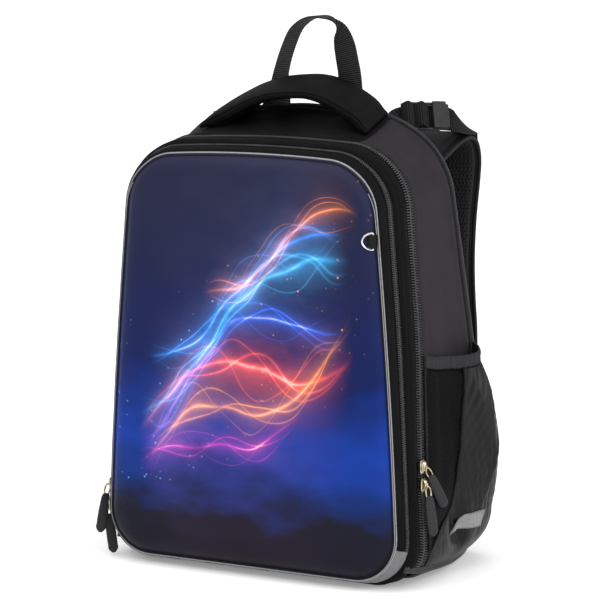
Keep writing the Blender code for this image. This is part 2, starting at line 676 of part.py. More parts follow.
def main():
    for old in list(bpy.data.objects):
        bpy.data.objects.remove(old, do_unlink=True)
    finishes = {
        "cloth": material("black_cloth", (0.025, 0.024, 0.027), 0.85),
        "print": material("printed_front", (0.03, 0.04, 0.14), 0.55),
        "grey": material("reflective_grey", (0.50, 0.50, 0.52), 0.35),
        "zip": material("zip_black", (0.012, 0.012, 0.013), 0.50),
        "trim": material("black_trim", (0.015, 0.015, 0.016), 0.60),
        "pad": material("padded_cloth", (0.030, 0.029, 0.032), 0.85),
        "mesh": material("black_netting", (0.010, 0.010, 0.011), 0.90),
        "satin": material("black_satin", (0.012, 0.012, 0.014), 0.40),
        "smooth": material("handle_cloth", (0.022, 0.022, 0.024), 0.70),
        "webbing": material("black_webbing", (0.020, 0.020, 0.022), 0.75),
        "brass": material("antique_brass", (0.42, 0.30, 0.13), 0.35, 1.0),
        "rubber": material("pull_rubber", (0.035, 0.035, 0.038), 0.60),
        "nickel": material("bright_nickel", (0.72, 0.71, 0.69), 0.20, 1.0),
        "plastic": material("buckle_plastic", (0.015, 0.015, 0.016), 0.45),
    }
    build_body(finishes)
    build_handle(finishes)
    build_pockets(finishes)
    build_straps(finishes)
    build_webbing(finishes)
    build_pulls(finishes)
    build_ring(finishes)
    for made in bpy.context.scene.objects:
        made.data.transform(Matrix.Translation((0.0, -ORIGIN_Y, 0.0)))


main()
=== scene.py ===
"""Looks of the school ransel: its cloth, zips, piping, pockets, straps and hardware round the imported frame.

Lengths are metres. Shapes are worked out in the bag's own frame, where Y is 0 at the front seam, and
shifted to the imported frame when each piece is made.
"""

import math

import bmesh
import bpy
import numpy as np
from mathutils import Matrix, Vector


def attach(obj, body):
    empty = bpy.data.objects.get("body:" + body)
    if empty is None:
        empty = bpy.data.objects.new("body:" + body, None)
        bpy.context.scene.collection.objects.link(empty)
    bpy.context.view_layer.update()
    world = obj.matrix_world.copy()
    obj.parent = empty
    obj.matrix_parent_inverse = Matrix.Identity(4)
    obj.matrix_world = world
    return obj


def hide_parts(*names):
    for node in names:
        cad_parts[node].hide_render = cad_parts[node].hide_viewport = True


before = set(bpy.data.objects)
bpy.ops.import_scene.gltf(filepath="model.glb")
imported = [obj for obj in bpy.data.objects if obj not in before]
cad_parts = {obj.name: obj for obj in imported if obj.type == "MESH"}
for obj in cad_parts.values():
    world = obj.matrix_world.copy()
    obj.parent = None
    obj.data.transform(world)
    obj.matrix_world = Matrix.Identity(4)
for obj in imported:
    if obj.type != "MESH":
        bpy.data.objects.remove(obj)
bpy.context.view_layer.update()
SHIFT = np.array([0.0, -0.10865, 0.0])
SCENE = bpy.context.scene

# Sections of the body's skin from the front seam to the back seam: y = depth + lean * z.
SECTION_COLUMNS = ("depth", "lean", "top_half", "low_half", "top_z", "crown", "low_z", "top_r", "low_r")
SECTIONS = np.array([
    (0.0000, 0.019, 0.1199, 0.1458, 0.3680, 0.0046, 0.0080, 0.0447, 0.0394),
    (0.0120, 0.019, 0.1245, 0.1502, 0.3725, 0.0046, 0.0050, 0.0490, 0.0400),
    (0.0360, 0.019, 0.1296, 0.1554, 0.3777, 0.0046, 0.0035, 0.0530, 0.0340),
    (0.0830, -0.036, 0.1310, 0.1570, 0.3815, 0.0050, 0.0028, 0.0570, 0.0240),
    (0.1250, -0.086, 0.1322, 0.1582, 0.3885, 0.0064, 0.0028, 0.0630, 0.0310),
    (0.1664, -0.135, 0.1332, 0.1591, 0.3960, 0.0094, 0.0040, 0.0660, 0.0440),
])
SIDE_BULGE = 0.0031
CROWN_HALF = 0.105

# Depths of the seams, measured at the floor.
RIM = (0.0015, 0.0098)
ZIP_FRONT = 0.0143
RIDGE = 0.0202
ZIP_MAIN = 0.0400
BACK_SEAM = 0.1664


def hermite(x, xp, fp):
    """Smooth curve through (xp, fp): cubic pieces whose slopes are the central differences."""
    xp, fp = np.asarray(xp, float), np.asarray(fp, float)
    slope = np.gradient(fp, xp)
    x = np.clip(np.asarray(x, float), xp[0], xp[-1])
    k = np.clip(np.searchsorted(xp, x, side="right") - 1, 0, len(xp) - 2)
    h = xp[k + 1] - xp[k]
    t = (x - xp[k]) / h
    a, b = 2 * t**3 - 3 * t**2 + 1, t**3 - 2 * t**2 + t
    return a * fp[k] + b * h * slope[k] + (1 - a) * fp[k + 1] + (t**3 - t**2) * h * slope[k + 1]


def smooth_step(x, low, high):
    """0 below low, 1 above high, and 3t^2 - 2t^3 between."""
    t = np.clip((x - low) / (high - low), 0.0, 1.0)
    return t * t * (3 - 2 * t)


def ripple(u, v, seed, pitch):
    """Soft wandering surface between -1 and 1: the mean of eight sine waves of seeded directions,
    with wavelengths about pitch."""
    rng = np.random.default_rng(seed)
    total = np.zeros(np.broadcast(u, v).shape)
    for _ in range(8):
        turn, phase = rng.uniform(0, math.tau, 2)
        wave = math.tau / (pitch * rng.uniform(0.7, 1.8))
        total += np.sin(wave * (u * math.cos(turn) + v * math.sin(turn)) + phase)
    return total / 4.0


def catmull(rows, count):
    """count points on the Catmull-Rom curve through the rows, evenly spaced in arc length."""
    rows = np.asarray(rows, float)
    ends = np.vstack([2 * rows[0] - rows[1], rows, 2 * rows[-1] - rows[-2]])
    t = np.linspace(0, 1, 24, endpoint=False)[:, None]
    parts = []
    for k in range(len(rows) - 1):
        a, b, c, d = ends[k : k + 4]
        parts.append(0.5 * (2 * b + (c - a) * t + (2 * a - 5 * b + 4 * c - d) * t**2 + (3 * b - 3 * c + d - a) * t**3))
    dense = np.vstack(parts + [rows[-1:]])
    step = np.linalg.norm(np.diff(dense[:, :3], axis=0), axis=1)
    along = np.concatenate([[0], np.cumsum(step)])
    want = np.linspace(0, along[-1], count)
    return np.stack([np.interp(want, along, dense[:, k]) for k in range(dense.shape[1])], axis=1)


def unit(a):
    return a / np.maximum(np.linalg.norm(a, axis=-1, keepdims=True), 1e-12)


def tangents(path, loop=False):
    """Unit directions along a path by central differences."""
    if loop:
        return unit(np.roll(path, -1, axis=0) - np.roll(path, 1, axis=0))
    return unit(np.gradient(path, axis=0))


def outline(depth, out, t):
    """The skin's point at a depth, out from the wall, and t, the station round the outline.

    t runs 0 to 5 up the half at +X: floor, low corner, side, top corner and top take one unit
    each. From 5 to 10 it mirrors down the other half. Corners are arcs, sides lean and bulge
    as a half sine, and the top is arched by a parabola, steeper to the rear, that fades out past
    CROWN_HALF. Low on the
    sides the skin about the main zip is drawn forward.
    """
    depth, out, t = np.broadcast_arrays(np.asarray(depth, float), out, np.mod(t, 10.0))
    value = {n: hermite(depth, SECTIONS[:, 0], SECTIONS[:, k]) for k, n in enumerate(SECTION_COLUMNS) if k}
    half = np.where(t > 5, 10 - t, t)
    sign = np.where(t > 5, -1.0, 1.0)
    top_z, low_z = value["top_z"] + out, value["low_z"] - out
    slope = np.arctan2(value["low_half"] - value["top_half"], value["top_z"] - value["low_z"])
    top_r = np.maximum(value["top_r"] + out, 0.002)
    low_r = np.maximum(value["low_r"] + out, 0.002)

    def corner(z, radius):
        at = value["low_half"] - (z - value["low_z"]) * np.tan(slope)
        return at + (out - radius) / np.cos(slope)

    low_c, top_c = low_z + low_r, top_z - top_r
    low_x, top_x = corner(low_c, low_r), corner(top_c, top_r)
    a_low = -math.pi / 2 + (math.pi / 2 + slope) * (half - 1)
    a_top = slope + (math.pi / 2 - slope) * (half - 3)
    up = half - 2
    x0, z0 = low_x + low_r * np.cos(slope), low_c + low_r * np.sin(slope)
    x1, z1 = top_x + top_r * np.cos(slope), top_c + top_r * np.sin(slope)
    zones = [half < 1, half < 2, half < 3, half < 4, half <= 5.0001]
    x = np.select(zones, [low_x * half, low_x + low_r * np.cos(a_low), x0 + (x1 - x0) * up,
                          top_x + top_r * np.cos(a_top), top_x * (5 - half)])
    z = np.select(zones, [low_z, low_c + low_r * np.sin(a_low), z0 + (z1 - z0) * up,
                          top_c + top_r * np.sin(a_top), top_z])
    share = np.clip((z - low_z) / (top_z - low_z), 0, 1)
    arch = 1.0 - (x**2 / CROWN_HALF**2 + 0.004) ** (1.0 - 0.35 * smooth_step(depth, 0.10, 0.15))
    arch = (arch + np.sqrt(arch**2 + 0.0004)) / 2
    z = z + value["crown"] * arch * (z > top_z - top_r)
    x = x + SIDE_BULGE * np.sin(math.pi * share) * np.minimum(x / value["low_half"], 1.0)
    low = 1 - smooth_step(z, 0.090, 0.240)
    pull = -0.0092 * smooth_step(depth, 0.0, 0.036) * (1 - smooth_step(depth, 0.044, 0.085)) * low
    pull = pull * smooth_step(half, 0.9, 1.5)
    return np.stack([sign * x, depth + pull + value["lean"] * z, z], axis=-1)


def even_stations(depth, out, step, start=0.0, end=10.0):
    """Stations from start to end whose points lie a step apart in arc length."""
    t = np.linspace(start, end, 4000)
    path = outline(depth, out, t)
    along = np.concatenate([[0], np.cumsum(np.linalg.norm(np.diff(path, axis=0), axis=1))])
    count = max(int(round(along[-1] / step)), 2)
    return np.interp(np.linspace(0, along[-1], count + 1), along, t), along[-1]


def station_at(depth, height, out=0.0):
    """Station on the +X side whose point has this height."""
    t = np.linspace(1.0, 4.2, 3000)
    return float(np.interp(height, outline(depth, out, t)[:, 2], t))


def station_x(depth, x, out=0.0):
    """Station on the top, at +X, whose point has this x."""
    t = np.linspace(3.0, 5.0, 3000)
    return float(np.interp(-x, -outline(depth, out, t)[:, 0], t))


class Shape:
    """Grids, tubes and caps gathered into one mesh, with a UV map in metres."""

    def __init__(self):
        self.points, self.faces, self.maps, self.count = [], [], [], 0

    def grid(self, points, round_i=False, round_j=False, flip=False, uv=None, turn_uv=False):
        """Faces between neighbours of points[j, i]; round_i and round_j close a direction. The UV
        map is the mean arc length along each direction, in metres."""
        points = np.asarray(points, float)
        rows, cols = points.shape[:2]
        j, i = np.meshgrid(np.arange(rows if round_j else rows - 1), np.arange(cols if round_i else cols - 1), indexing="ij")
        j1, i1 = j + 1, i + 1
        corners = [(j, i), (j, i1), (j1, i1), (j1, i)]
        if flip:
            corners = corners[::-1]
        faces = np.stack([(a % rows) * cols + b % cols for a, b in corners], -1).reshape(-1, 4)
        if uv is None:
            along_i = np.linalg.norm(np.diff(points, axis=1, append=points[:, :1]), axis=2).mean(axis=0)
            along_j = np.linalg.norm(np.diff(points, axis=0, append=points[:1]), axis=2).mean(axis=1)
            u = np.concatenate([[0], np.cumsum(along_i)])
            v = np.concatenate([[0], np.cumsum(along_j)])
            uv = np.stack(np.broadcast_arrays(u[None, :], v[:, None]), -1)
        if turn_uv:
            uv = uv[..., ::-1]
        maps = np.stack([uv[a, b] for a, b in corners], -2).reshape(-1, 4, 2)
        self.points.append(points.reshape(-1, 3))
        self.faces.append(faces + self.count)
        self.maps.append(maps)
        self.count += rows * cols
        return self

    def cloth(self, face, back):
        """A closed cloth wall: its face grid joined to its back round all four edges."""
        around = np.concatenate([face, back[:, ::-1]], axis=1)
        middle = (face + back) / 2
        ends = np.concatenate([middle, middle[:, ::-1]], axis=1)
        return self.grid(np.concatenate([ends[:1], around, ends[-1:]]), round_i=True)

    def fan(self, ring, flip=False):
        """One flat face across a closed ring of points."""
        ring = np.asarray(ring, float)
        order = np.arange(len(ring))
        face = (order[::-1] if flip else order)[None, :]
        self.points.append(ring)
        self.faces.append(face + self.count)
        flat = ring - ring.mean(axis=0)
        axes = np.linalg.svd(flat, full_matrices=False)[2]
        self.maps.append((flat @ axes[:2].T)[face[0]][None])
        self.count += len(ring)
        return self

    def many(self, points, faces):
        """Small shapes repeated: points[shape, point] with one list of faces for each."""
        shapes, each = points.shape[:2]
        faces = np.asarray(faces)
        start = np.arange(shapes)[:, None, None] * each
        self.points.append(points.reshape(-1, 3))
        self.faces.append((faces[None] + start).reshape(-1, faces.shape[1]) + self.count)
        self.maps.append(np.zeros((shapes * len(faces), faces.shape[1], 2)))
        self.count += shapes * each
        return self

    def mirror(self):
        """The same shape on the other side of the bag."""
        other = Shape()
        other.points = [p * np.array([-1.0, 1.0, 1.0]) for p in self.points]
        other.faces = [f[:, ::-1] for f in self.faces]
        other.maps = [m[:, ::-1] for m in self.maps]
        other.count = self.count
        return other

    def piece(self, name, finish, slot, replaces=(), weld=0.0, smooth=True, sharp=None):
        """The finished object, riding on the bag, standing for the CAD nodes that it replaces."""
        mesh = bpy.data.meshes.new(name)
        points = np.concatenate(self.points) + SHIFT
        sizes = np.concatenate([np.full(len(f), f.shape[1]) for f in self.faces])
        loops = np.concatenate([f.ravel() for f in self.faces])
        mesh.vertices.add(len(points))
        mesh.vertices.foreach_set("co", points.ravel())
        mesh.loops.add(len(loops))
        mesh.loops.foreach_set("vertex_index", loops.astype(np.int32))
        mesh.polygons.add(len(sizes))
        starts = np.concatenate([[0], np.cumsum(sizes)[:-1]]).astype(np.int32)
        mesh.polygons.foreach_set("loop_start", starts)
        layer = mesh.uv_layers.new(name="Metres")
        layer.data.foreach_set("uv", np.concatenate([m.reshape(-1, 2) for m in self.maps]).ravel())
        mesh.update(calc_edges=True)
        mesh.validate()
        if weld:
            bm = bmesh.new()
            bm.from_mesh(mesh)
            bmesh.ops.remove_doubles(bm, verts=bm.verts, dist=weld)
            bm.to_mesh(mesh)
            bm.free()
        mesh.polygons.foreach_set("use_smooth", np.full(len(mesh.polygons), smooth))
        if sharp:
            mesh.set_sharp_from_angle(angle=math.radians(sharp))
        mesh.materials.append(finish)
        made = bpy.data.objects.new(name, mesh)
        SCENE.collection.objects.link(made)
        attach(made, "root")
        if replaces:
            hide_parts(*replaces)
        return made


def sweep(path, section, side, loop=False, scale=None):
    """A section carried along a path: point = path + side * a + other * b for each (a, b) of the
    section, where other is across both the path and side. scale is a factor at each path point."""
    along = tangents(path, loop)
    side = unit(side - along * np.sum(side * along, axis=1, keepdims=True))
    other = np.cross(along, side)
    section = np.asarray(section, float)
    if section.ndim == 2:
        section = np.broadcast_to(section, (len(path), *section.shape))
    if scale is not None:
        section = section * np.asarray(scale)[:, None, None]
    return path[:, None] + side[:, None] * section[..., :1] + other[:, None] * section[..., 1:]


def disc(radius, sides, squash=1.0):
    """A round section, flattened by squash."""
    a = np.arange(sides) * math.tau / sides
    return np.stack([radius * np.cos(a), radius * squash * np.sin(a)], -1)


def box_section(wide, thick, corner, steps=3):
    """A rectangular section with rounded corners."""
    parts = []
    for k, (sx, sy) in enumerate(((1, 1), (-1, 1), (-1, -1), (1, -1))):
        a = math.pi / 2 * (k + np.linspace(0, 1, steps + 1))
        parts.append(np.stack([sx * (wide / 2 - corner) + corner * np.cos(a), sy * (thick / 2 - corner) + corner * np.sin(a)], -1))
    return np.concatenate(parts)


def tube(shape, path, section, side, caps=True, scale=None, loop=False):
    """A closed tube with flat ends."""
    points = sweep(path, section, side, loop, scale)
    shape.grid(points, round_i=True, round_j=loop)
    if caps and not loop:
        shape.fan(points[0], flip=True)
        shape.fan(points[-1])
    return shape


STITCH_RING = np.array([(0.0, 0.35), (0.5, 1.0), (1.0, 0.35)])


def stitches(shape, path, normal, pitch=0.0034, length=0.0025, radius=0.00028, sink=0.3, loop=False):
    """A row of thread stitches along a path: each is a six-sided bar tapered at its ends, which dip
    into the cloth."""
    closed = np.vstack([path, path[:1]]) if loop else path
    step = np.linalg.norm(np.diff(closed, axis=0), axis=1)
    along = np.concatenate([[0], np.cumsum(step)])
    count = max(int(along[-1] / pitch), 1)
    middle = (np.arange(count) + 0.5) * along[-1] / count
    normals = np.vstack([normal, normal[:1]]) if loop else normal

    def at(s, rows):
        return np.stack([np.interp(s, along, rows[:, k]) for k in range(3)], -1)

    centre, up = at(middle, closed), unit(at(middle, normals))
    ahead = unit(at(np.minimum(middle + 0.0005, along[-1]), closed) - at(np.maximum(middle - 0.0005, 0), closed))
    side = unit(np.cross(ahead, up))
    a = np.arange(6) * math.tau / 6
    points = []
    for share, size in STITCH_RING:
        dip = radius * (sink if share == 0.5 else -0.9)
        hub = centre + ahead * (share - 0.5) * length + up * dip
        ring = hub[:, None] + radius * size * (side[:, None] * np.cos(a)[:, None] + up[:, None] * np.sin(a)[:, None])
        points.append(ring)
    points = np.concatenate(points, axis=1)
    faces = []
    for ring in (0, 6):
        for k in range(6):
            n = (k + 1) % 6
            faces.append((ring + k, ring + 6 + k, ring + 6 + n, ring + n))
    return shape.many(points, faces)


class Wiring:
    """Short way to wire a material: each call adds one node and returns its output."""

    def __init__(self, name, colour=(0.8, 0.8, 0.8), rough=0.5, metal=0.0):
        self.material = bpy.data.materials.new(name)
        self.material.use_nodes = True
        self.nodes = self.material.node_tree.nodes
        self.links = self.material.node_tree.links
        self.shader = self.nodes["Principled BSDF"]
        self.set("Base Color", (*colour, 1.0) if len(colour) == 3 else colour)
        self.set("Roughness", rough)
        self.set("Metallic", metal)
        self.set("Specular IOR Level", 0.5 if metal else 0.15)

    def set(self, socket, value):
        self.feed(self.shader.inputs[socket], value)
        return self

    def feed(self, socket, value):
        if isinstance(value, bpy.types.NodeSocket):
            self.links.new(value, socket)
        elif value is not None:
            socket.default_value = value

    def node(self, kind, values, output=0, **options):
        made = self.nodes.new(kind)
        for key, value in options.items():
            setattr(made, key, value)
        for key, value in values.items():
            self.feed(made.inputs[key], value)
        return made.outputs[output]

    def math(self, kind, a, b=None, c=None):
        made = self.nodes.new("ShaderNodeMath")
        made.operation = kind
        for k, value in enumerate((a, b, c)):
            if value is not None:
                self.feed(made.inputs[k], value)
        return made.outputs[0]

    def uv(self):
        return self.node("ShaderNodeUVMap", {}, uv_map="Metres")

    def place(self):
        return self.node("ShaderNodeTexCoord", {}, output=3)

    def split(self, vector):
        made = self.nodes.new("ShaderNodeSeparateXYZ")
        self.feed(made.inputs[0], vector)
        return made.outputs[0], made.outputs[1], made.outputs[2]

    def join(self, x, y, z=0.0):
        return self.node("ShaderNodeCombineXYZ", {0: x, 1: y, 2: z})

    def noise(self, vector, scale, detail=2.0, rough=0.5, stretch=None):
        if stretch:
            vector = self.node("ShaderNodeMapping", {"Vector": vector, "Scale": stretch})
        return self.node("ShaderNodeTexNoise", {"Vector": vector, "Scale": scale, "Detail": detail, "Roughness": rough})

    def ramp(self, value, low, high, to_low=0.0, to_high=1.0, kind="LINEAR"):
        made = self.nodes.new("ShaderNodeMapRange")
        made.interpolation_type = kind
        for k, v in enumerate((value, low, high, to_low, to_high)):
            self.feed(made.inputs[k], v)
        return made.outputs[0]

    def mix(self, share, a, b, kind="MIX"):
        made = self.nodes.new("ShaderNodeMix")
        made.data_type = "RGBA"
        made.blend_type = kind
        for k, value in ((0, share), (6, a), (7, b)):
            if isinstance(value, tuple) and len(value) == 3:
                value = (*value, 1.0)
            self.feed(made.inputs[k], value)
        return made.outputs[2]

    def bump(self, height, distance, strength=1.0, under=None):
        values = {"Height": height, "Distance": distance, "Strength": strength}
        if under is not None:
            values["Normal"] = under
        normal = self.node("ShaderNodeBump", values)
        self.set("Normal", normal)
        return normal

    def weave(self, vector, pitch_u, pitch_v):
        """Height of a plain weave: |sin| humps of the two threads, taking turns over each other."""
        u, v, _ = self.split(vector)
        a = self.math("MULTIPLY", u, 1.0 / pitch_u)
        b = self.math("MULTIPLY", v, 1.0 / pitch_v)
        over = self.math("ABSOLUTE", self.math("SINE", self.math("MULTIPLY", a, math.pi)))
        under = self.math("ABSOLUTE", self.math("SINE", self.math("MULTIPLY", b, math.pi)))
        cells = self.math("ADD", self.math("FLOOR", a), self.math("FLOOR", b))
        turn = self.math("FLOORED_MODULO", cells, 2.0)
        return self.math("ADD", self.math("MULTIPLY", over, turn),
                         self.math("MULTIPLY", under, self.math("SUBTRACT", 1.0, turn)))


def woven(name, dark, light, rough, pitch=(0.0007, 0.0007), depth=0.00012, sheen=0.0, mottle=0.5, along=None):
    """Woven cloth: plain-weave height in the bump, threads lighter at their crowns as painted highlight,
    and a slow mottle of both colour and roughness."""
    w = Wiring(name, rough=rough)
    uv = w.uv()
    threads = w.weave(uv, *pitch)
    slow = w.noise(uv, 45.0, 3.0, 0.6, along)
    fine = w.noise(uv, 900.0, 2.0)
    # Painted highlight: the threads' crowns are lighter in colour; the fine and slow noise add random mottle.
    tone = w.math("ADD", w.math("MULTIPLY", threads, 0.55), w.math("MULTIPLY", fine, 0.35))
    tone = w.math("ADD", tone, w.math("MULTIPLY", w.math("SUBTRACT", slow, 0.5), mottle))
    w.set("Base Color", w.mix(w.ramp(tone, 0.15, 0.95), dark, light))
    w.set("Roughness", w.ramp(slow, 0.3, 0.7, rough - 0.06, rough + 0.06))
    w.set("Specular IOR Level", 0.10)
    if sheen:
        w.set("Sheen Weight", sheen)
        w.set("Sheen Roughness", 0.45)
    height = w.math("ADD", threads, w.math("MULTIPLY", fine, 0.5))
    w.bump(height, depth)
    return w.material


def glow(w, across, width, strength):
    """Brightness of a drawn light line: strength * width^2 / (across^2 + width^2)."""
    square = w.math("MULTIPLY", across, across)
    low = w.math("ADD", square, width * width)
    return w.math("DIVIDE", width * width * strength, low)


# Light ribbons of the front's print: z = level + tilt * x + swing * sin(bend * x + phase), in metres
# from the middle of the front, bright between left and right, with strands that part from it.
RIBBONS = (
    (0.060, 0.52, 0.020, 31.0, 0.3, 0.0022, -0.100, 0.100, (0.02, 0.30, 1.00)),
    (0.034, 0.66, 0.026, 27.0, 0.9, 0.0030, -0.108, 0.106, (0.05, 0.50, 1.00)),
    (0.006, 0.60, 0.030, 30.0, 1.7, 0.0024, -0.104, 0.104, (0.01, 0.14, 0.85)),
    (-0.016, 0.44, 0.026, 28.0, 2.5, 0.0028, -0.108, 0.110, (1.00, 0.10, 0.02)),
    (-0.036, 0.62, 0.022, 33.0, 3.2, 0.0022, -0.100, 0.108, (1.00, 0.34, 0.03)),
    (0.082, 0.40, 0.016, 36.0, 5.2, 0.0016, -0.040, 0.112, (1.00, 0.26, 0.03)),
    (-0.060, 0.50, 0.018, 30.0, 4.2, 0.0018, -0.108, 0.060, (0.60, 0.03, 0.25)),
)
# Each strand: how far it parts from the ribbon, how often, from where, its width and its strength.
STRANDS = ((0.0, 0.0, 0.0, 1.0, 1.20), (0.0090, 61.0, 1.0, 0.45, 0.85), (0.0150, 43.0, 2.6, 0.30, 0.60), (0.0210, 52.0, 4.4, 0.25, 0.45))


def printed_front():
    """The front's print: dark blue night with mist, bands of glowing ribbons with parting strands,
    and sparks, all drawn on the height and width of the panel."""
    w = Wiring("printed_front", rough=0.42)
    place = w.place()
    x, _, z = w.split(place)
    z = w.math("SUBTRACT", z, 0.192)
    flat = w.join(x, z)
    cloud = w.noise(flat, 14.0, 5.0, 0.55, (1.0, 1.9, 1.0))
    small = w.noise(flat, 60.0, 4.0, 0.6)
    rise = w.ramp(z, -0.185, 0.175)
    sky = w.nodes.new("ShaderNodeValToRGB")
    w.feed(sky.inputs[0], w.math("ADD", rise, w.math("MULTIPLY", w.math("SUBTRACT", cloud, 0.5), 0.26)))
    bands = sky.color_ramp
    stops = ((0.0, (0.007, 0.006, 0.013)), (0.12, (0.008, 0.008, 0.021)), (0.20, (0.005, 0.024, 0.150)),
             (0.30, (0.005, 0.042, 0.330)), (0.48, (0.003, 0.012, 0.095)), (0.75, (0.010, 0.014, 0.058)), (1.0, (0.017, 0.019, 0.048)))
    while len(bands.elements) < len(stops):
        bands.elements.new(0.5)
    for element, (at, colour) in zip(bands.elements, stops):
        element.position = at
        element.color = (*colour, 1.0)
    colour = sky.outputs[0]
    wander = w.math("MULTIPLY", w.math("SUBTRACT", w.noise(flat, 13.0, 1.0), 0.5), 0.040)
    broken = w.ramp(cloud, 0.30, 0.60, 0.25, 1.10)
    for level, tilt, swing, bend, phase, width, left, right, tint in RIBBONS:
        wave = w.math("SINE", w.math("MULTIPLY_ADD", x, bend, phase))
        line = w.math("MULTIPLY_ADD", x, tilt, level)
        line = w.math("ADD", line, w.math("MULTIPLY", wave, swing))
        off = w.math("ADD", w.math("SUBTRACT", z, line), wander)
        mid, span = (left + right) / 2, (right - left) / 2
        run = w.math("DIVIDE", w.math("SUBTRACT", x, mid), span)
        fade = w.ramp(w.math("ABSOLUTE", run), 0.50, 1.0, 1.0, 0.0, "SMOOTHSTEP")
        fade = w.math("MULTIPLY", fade, broken)
        halo = glow(w, off, width * 4.5, 0.30)
        light = halo
        for part, often, start, thin, strength in STRANDS:
            apart = w.math("MULTIPLY", w.math("SINE", w.math("MULTIPLY_ADD", x, often, start + phase)), part)
            light = w.math("ADD", light, glow(w, w.math("ADD", off, apart), width * thin * 0.55, strength))
        light = w.math("MULTIPLY", light, fade)
        layer = w.node("ShaderNodeMix", {0: w.math("MINIMUM", light, 1.0), 6: (0.0, 0.0, 0.0, 1.0), 7: (*tint, 1.0)},
                       output=2, data_type="RGBA")
        colour = w.mix(1.0, colour, layer, "ADD")
        core = w.math("MULTIPLY", w.ramp(light, 0.95, 1.6), 0.85)
        pale = tuple(0.55 + 0.45 * c for c in tint)
        colour = w.mix(core, colour, pale)
    cells = w.nodes.new("ShaderNodeTexVoronoi")
    w.feed(cells.inputs["Vector"], flat)
    w.feed(cells.inputs["Scale"], 150.0)
    dots = w.ramp(cells.outputs["Distance"], 0.05, 0.18, 1.0, 0.0)
    band = w.ramp(w.math("ABSOLUTE", w.math("SUBTRACT", z, w.math("MULTIPLY_ADD", x, 0.55, 0.012))), 0.060, 0.100, 1.0, 0.0)
    dots = w.math("MULTIPLY", dots, w.math("MULTIPLY", band, w.ramp(small, 0.50, 0.62)))
    colour = w.mix(dots, colour, w.mix(w.ramp(x, -0.05, 0.06), (0.2, 0.6, 1.0), (1.0, 0.35, 0.06)))
    w.set("Base Color", colour)
    w.set("Specular IOR Level", 0.11)
    threads = w.weave(w.uv(), 0.0006, 0.0006)
    w.set("Roughness", w.ramp(w.noise(place, 30.0), 0.3, 0.7, 0.40, 0.50))
    w.bump(threads, 0.00006)
    return w.material


def smooth_cloth():
    """Close black cloth of the gussets and the handle: short twill ribs, a faint gloss and faint dust."""
    w = Wiring("smooth_cloth", rough=0.62)
    uv = w.uv()
    u, v, _ = w.split(uv)
    twill = w.math("SINE", w.math("MULTIPLY", w.math("ADD", u, v), math.tau / 0.0009))
    slow = w.noise(uv, 30.0, 3.0, 0.6)
    fine = w.noise(uv, 1100.0, 2.0)
    w.set("Base Color", w.mix(w.ramp(w.math("ADD", slow, w.math("MULTIPLY", fine, 0.6)), 0.5, 1.1), (0.0022, 0.0021, 0.0024), (0.0072, 0.0069, 0.0076)))
    w.set("Roughness", w.ramp(slow, 0.3, 0.7, 0.50, 0.62))
    w.set("Specular IOR Level", 0.06)
    w.bump(w.math("ADD", w.math("MULTIPLY", twill, 0.5), fine), 0.00008)
    return w.material


def reflective_cloth(name, light):
    """Light-grey reflective cloth: bead-coated grain, thin creases across darkened by painted shade, and a silky gloss.
    """
    w = Wiring(name, rough=0.35)
    uv = w.uv()
    u, v, _ = w.split(uv)
    crease = w.noise(uv, 260.0, 3.0, 0.6, (0.35, 1.0, 1.0))
    grain = w.noise(uv, 2200.0, 2.0)
    # Painted shade: the colour darkens along the creases.
    crease_shade = w.ramp(crease, 0.56, 0.68)
    shade = w.mix(w.math("MULTIPLY", crease_shade, 0.5), (light, light, light * 1.02), (light * 0.4, light * 0.4, light * 0.42))
    w.set("Base Color", shade)
    w.set("Metallic", 0.25)
    w.set("Roughness", w.ramp(grain, 0.3, 0.7, 0.30, 0.44))
    w.bump(w.math("ADD", w.math("MULTIPLY", crease, 0.8), w.math("MULTIPLY", grain, 0.25)), 0.00020)
    return w.material


def ribbed_webbing(name, light):
    """Black webbing: ribs across its width, each broken into short floats along it."""
    w = Wiring(name, rough=0.6)
    u, v, _ = w.split(w.uv())
    rib = w.math("ABSOLUTE", w.math("COSINE", w.math("MULTIPLY", v, math.pi / 0.0018)))
    row = w.math("FLOORED_MODULO", w.math("FLOOR", w.math("MULTIPLY_ADD", v, 1.0 / 0.0018, 0.5)), 2.0)
    shift = w.math("MULTIPLY_ADD", row, 0.0006, u)
    float_ = w.math("ABSOLUTE", w.math("SINE", w.math("MULTIPLY", shift, math.pi / 0.0012)))
    height = w.math("MULTIPLY", rib, w.math("MULTIPLY_ADD", float_, 0.45, 0.55))
    fine = w.noise(w.uv(), 900.0, 2.0)
    # Painted highlight and shade: lighter colour on the rib crowns, black in the valleys between them.
    w.set("Base Color", w.mix(w.ramp(w.math("MULTIPLY_ADD", fine, 0.3, height), 0.2, 1.15), (0.0010, 0.0010, 0.0012), (light, light, light * 1.05)))
    w.set("Roughness", w.ramp(fine, 0.3, 0.7, 0.52, 0.66))
    w.set("Specular IOR Level", 0.10)
    w.bump(height, 0.00060)
    return w.material


def netting(name, hole, pitch, dark, light, depth):
    """Knitted netting on a backing: rows of oval holes darkened by painted shade, each row shifted by half a
    pitch, as the sum of two crossed cosines."""
    w = Wiring(name, rough=0.75)
    u, v, _ = w.split(w.uv())
    a = w.math("MULTIPLY", u, math.tau / pitch[0])
    b = w.math("MULTIPLY", v, math.pi / pitch[1])
    cross = w.math("MULTIPLY", w.math("COSINE", w.math("MULTIPLY", a, 0.5)), w.math("COSINE", b))
    holes = w.ramp(w.math("ABSOLUTE", cross), hole, hole + 0.22)
    fine = w.noise(w.uv(), 1300.0, 2.0)
    lace = w.math("SUBTRACT", 1.0, holes)
    # The holes take the dark colour: painted shade in the recesses.
    w.set("Base Color", w.mix(w.math("MULTIPLY", lace, w.math("MULTIPLY_ADD", fine, 0.7, 0.45)), dark, light))
    w.set("Specular IOR Level", 0.12)
    w.bump(w.math("MULTIPLY_ADD", fine, 0.25, lace), depth)
    return w.material


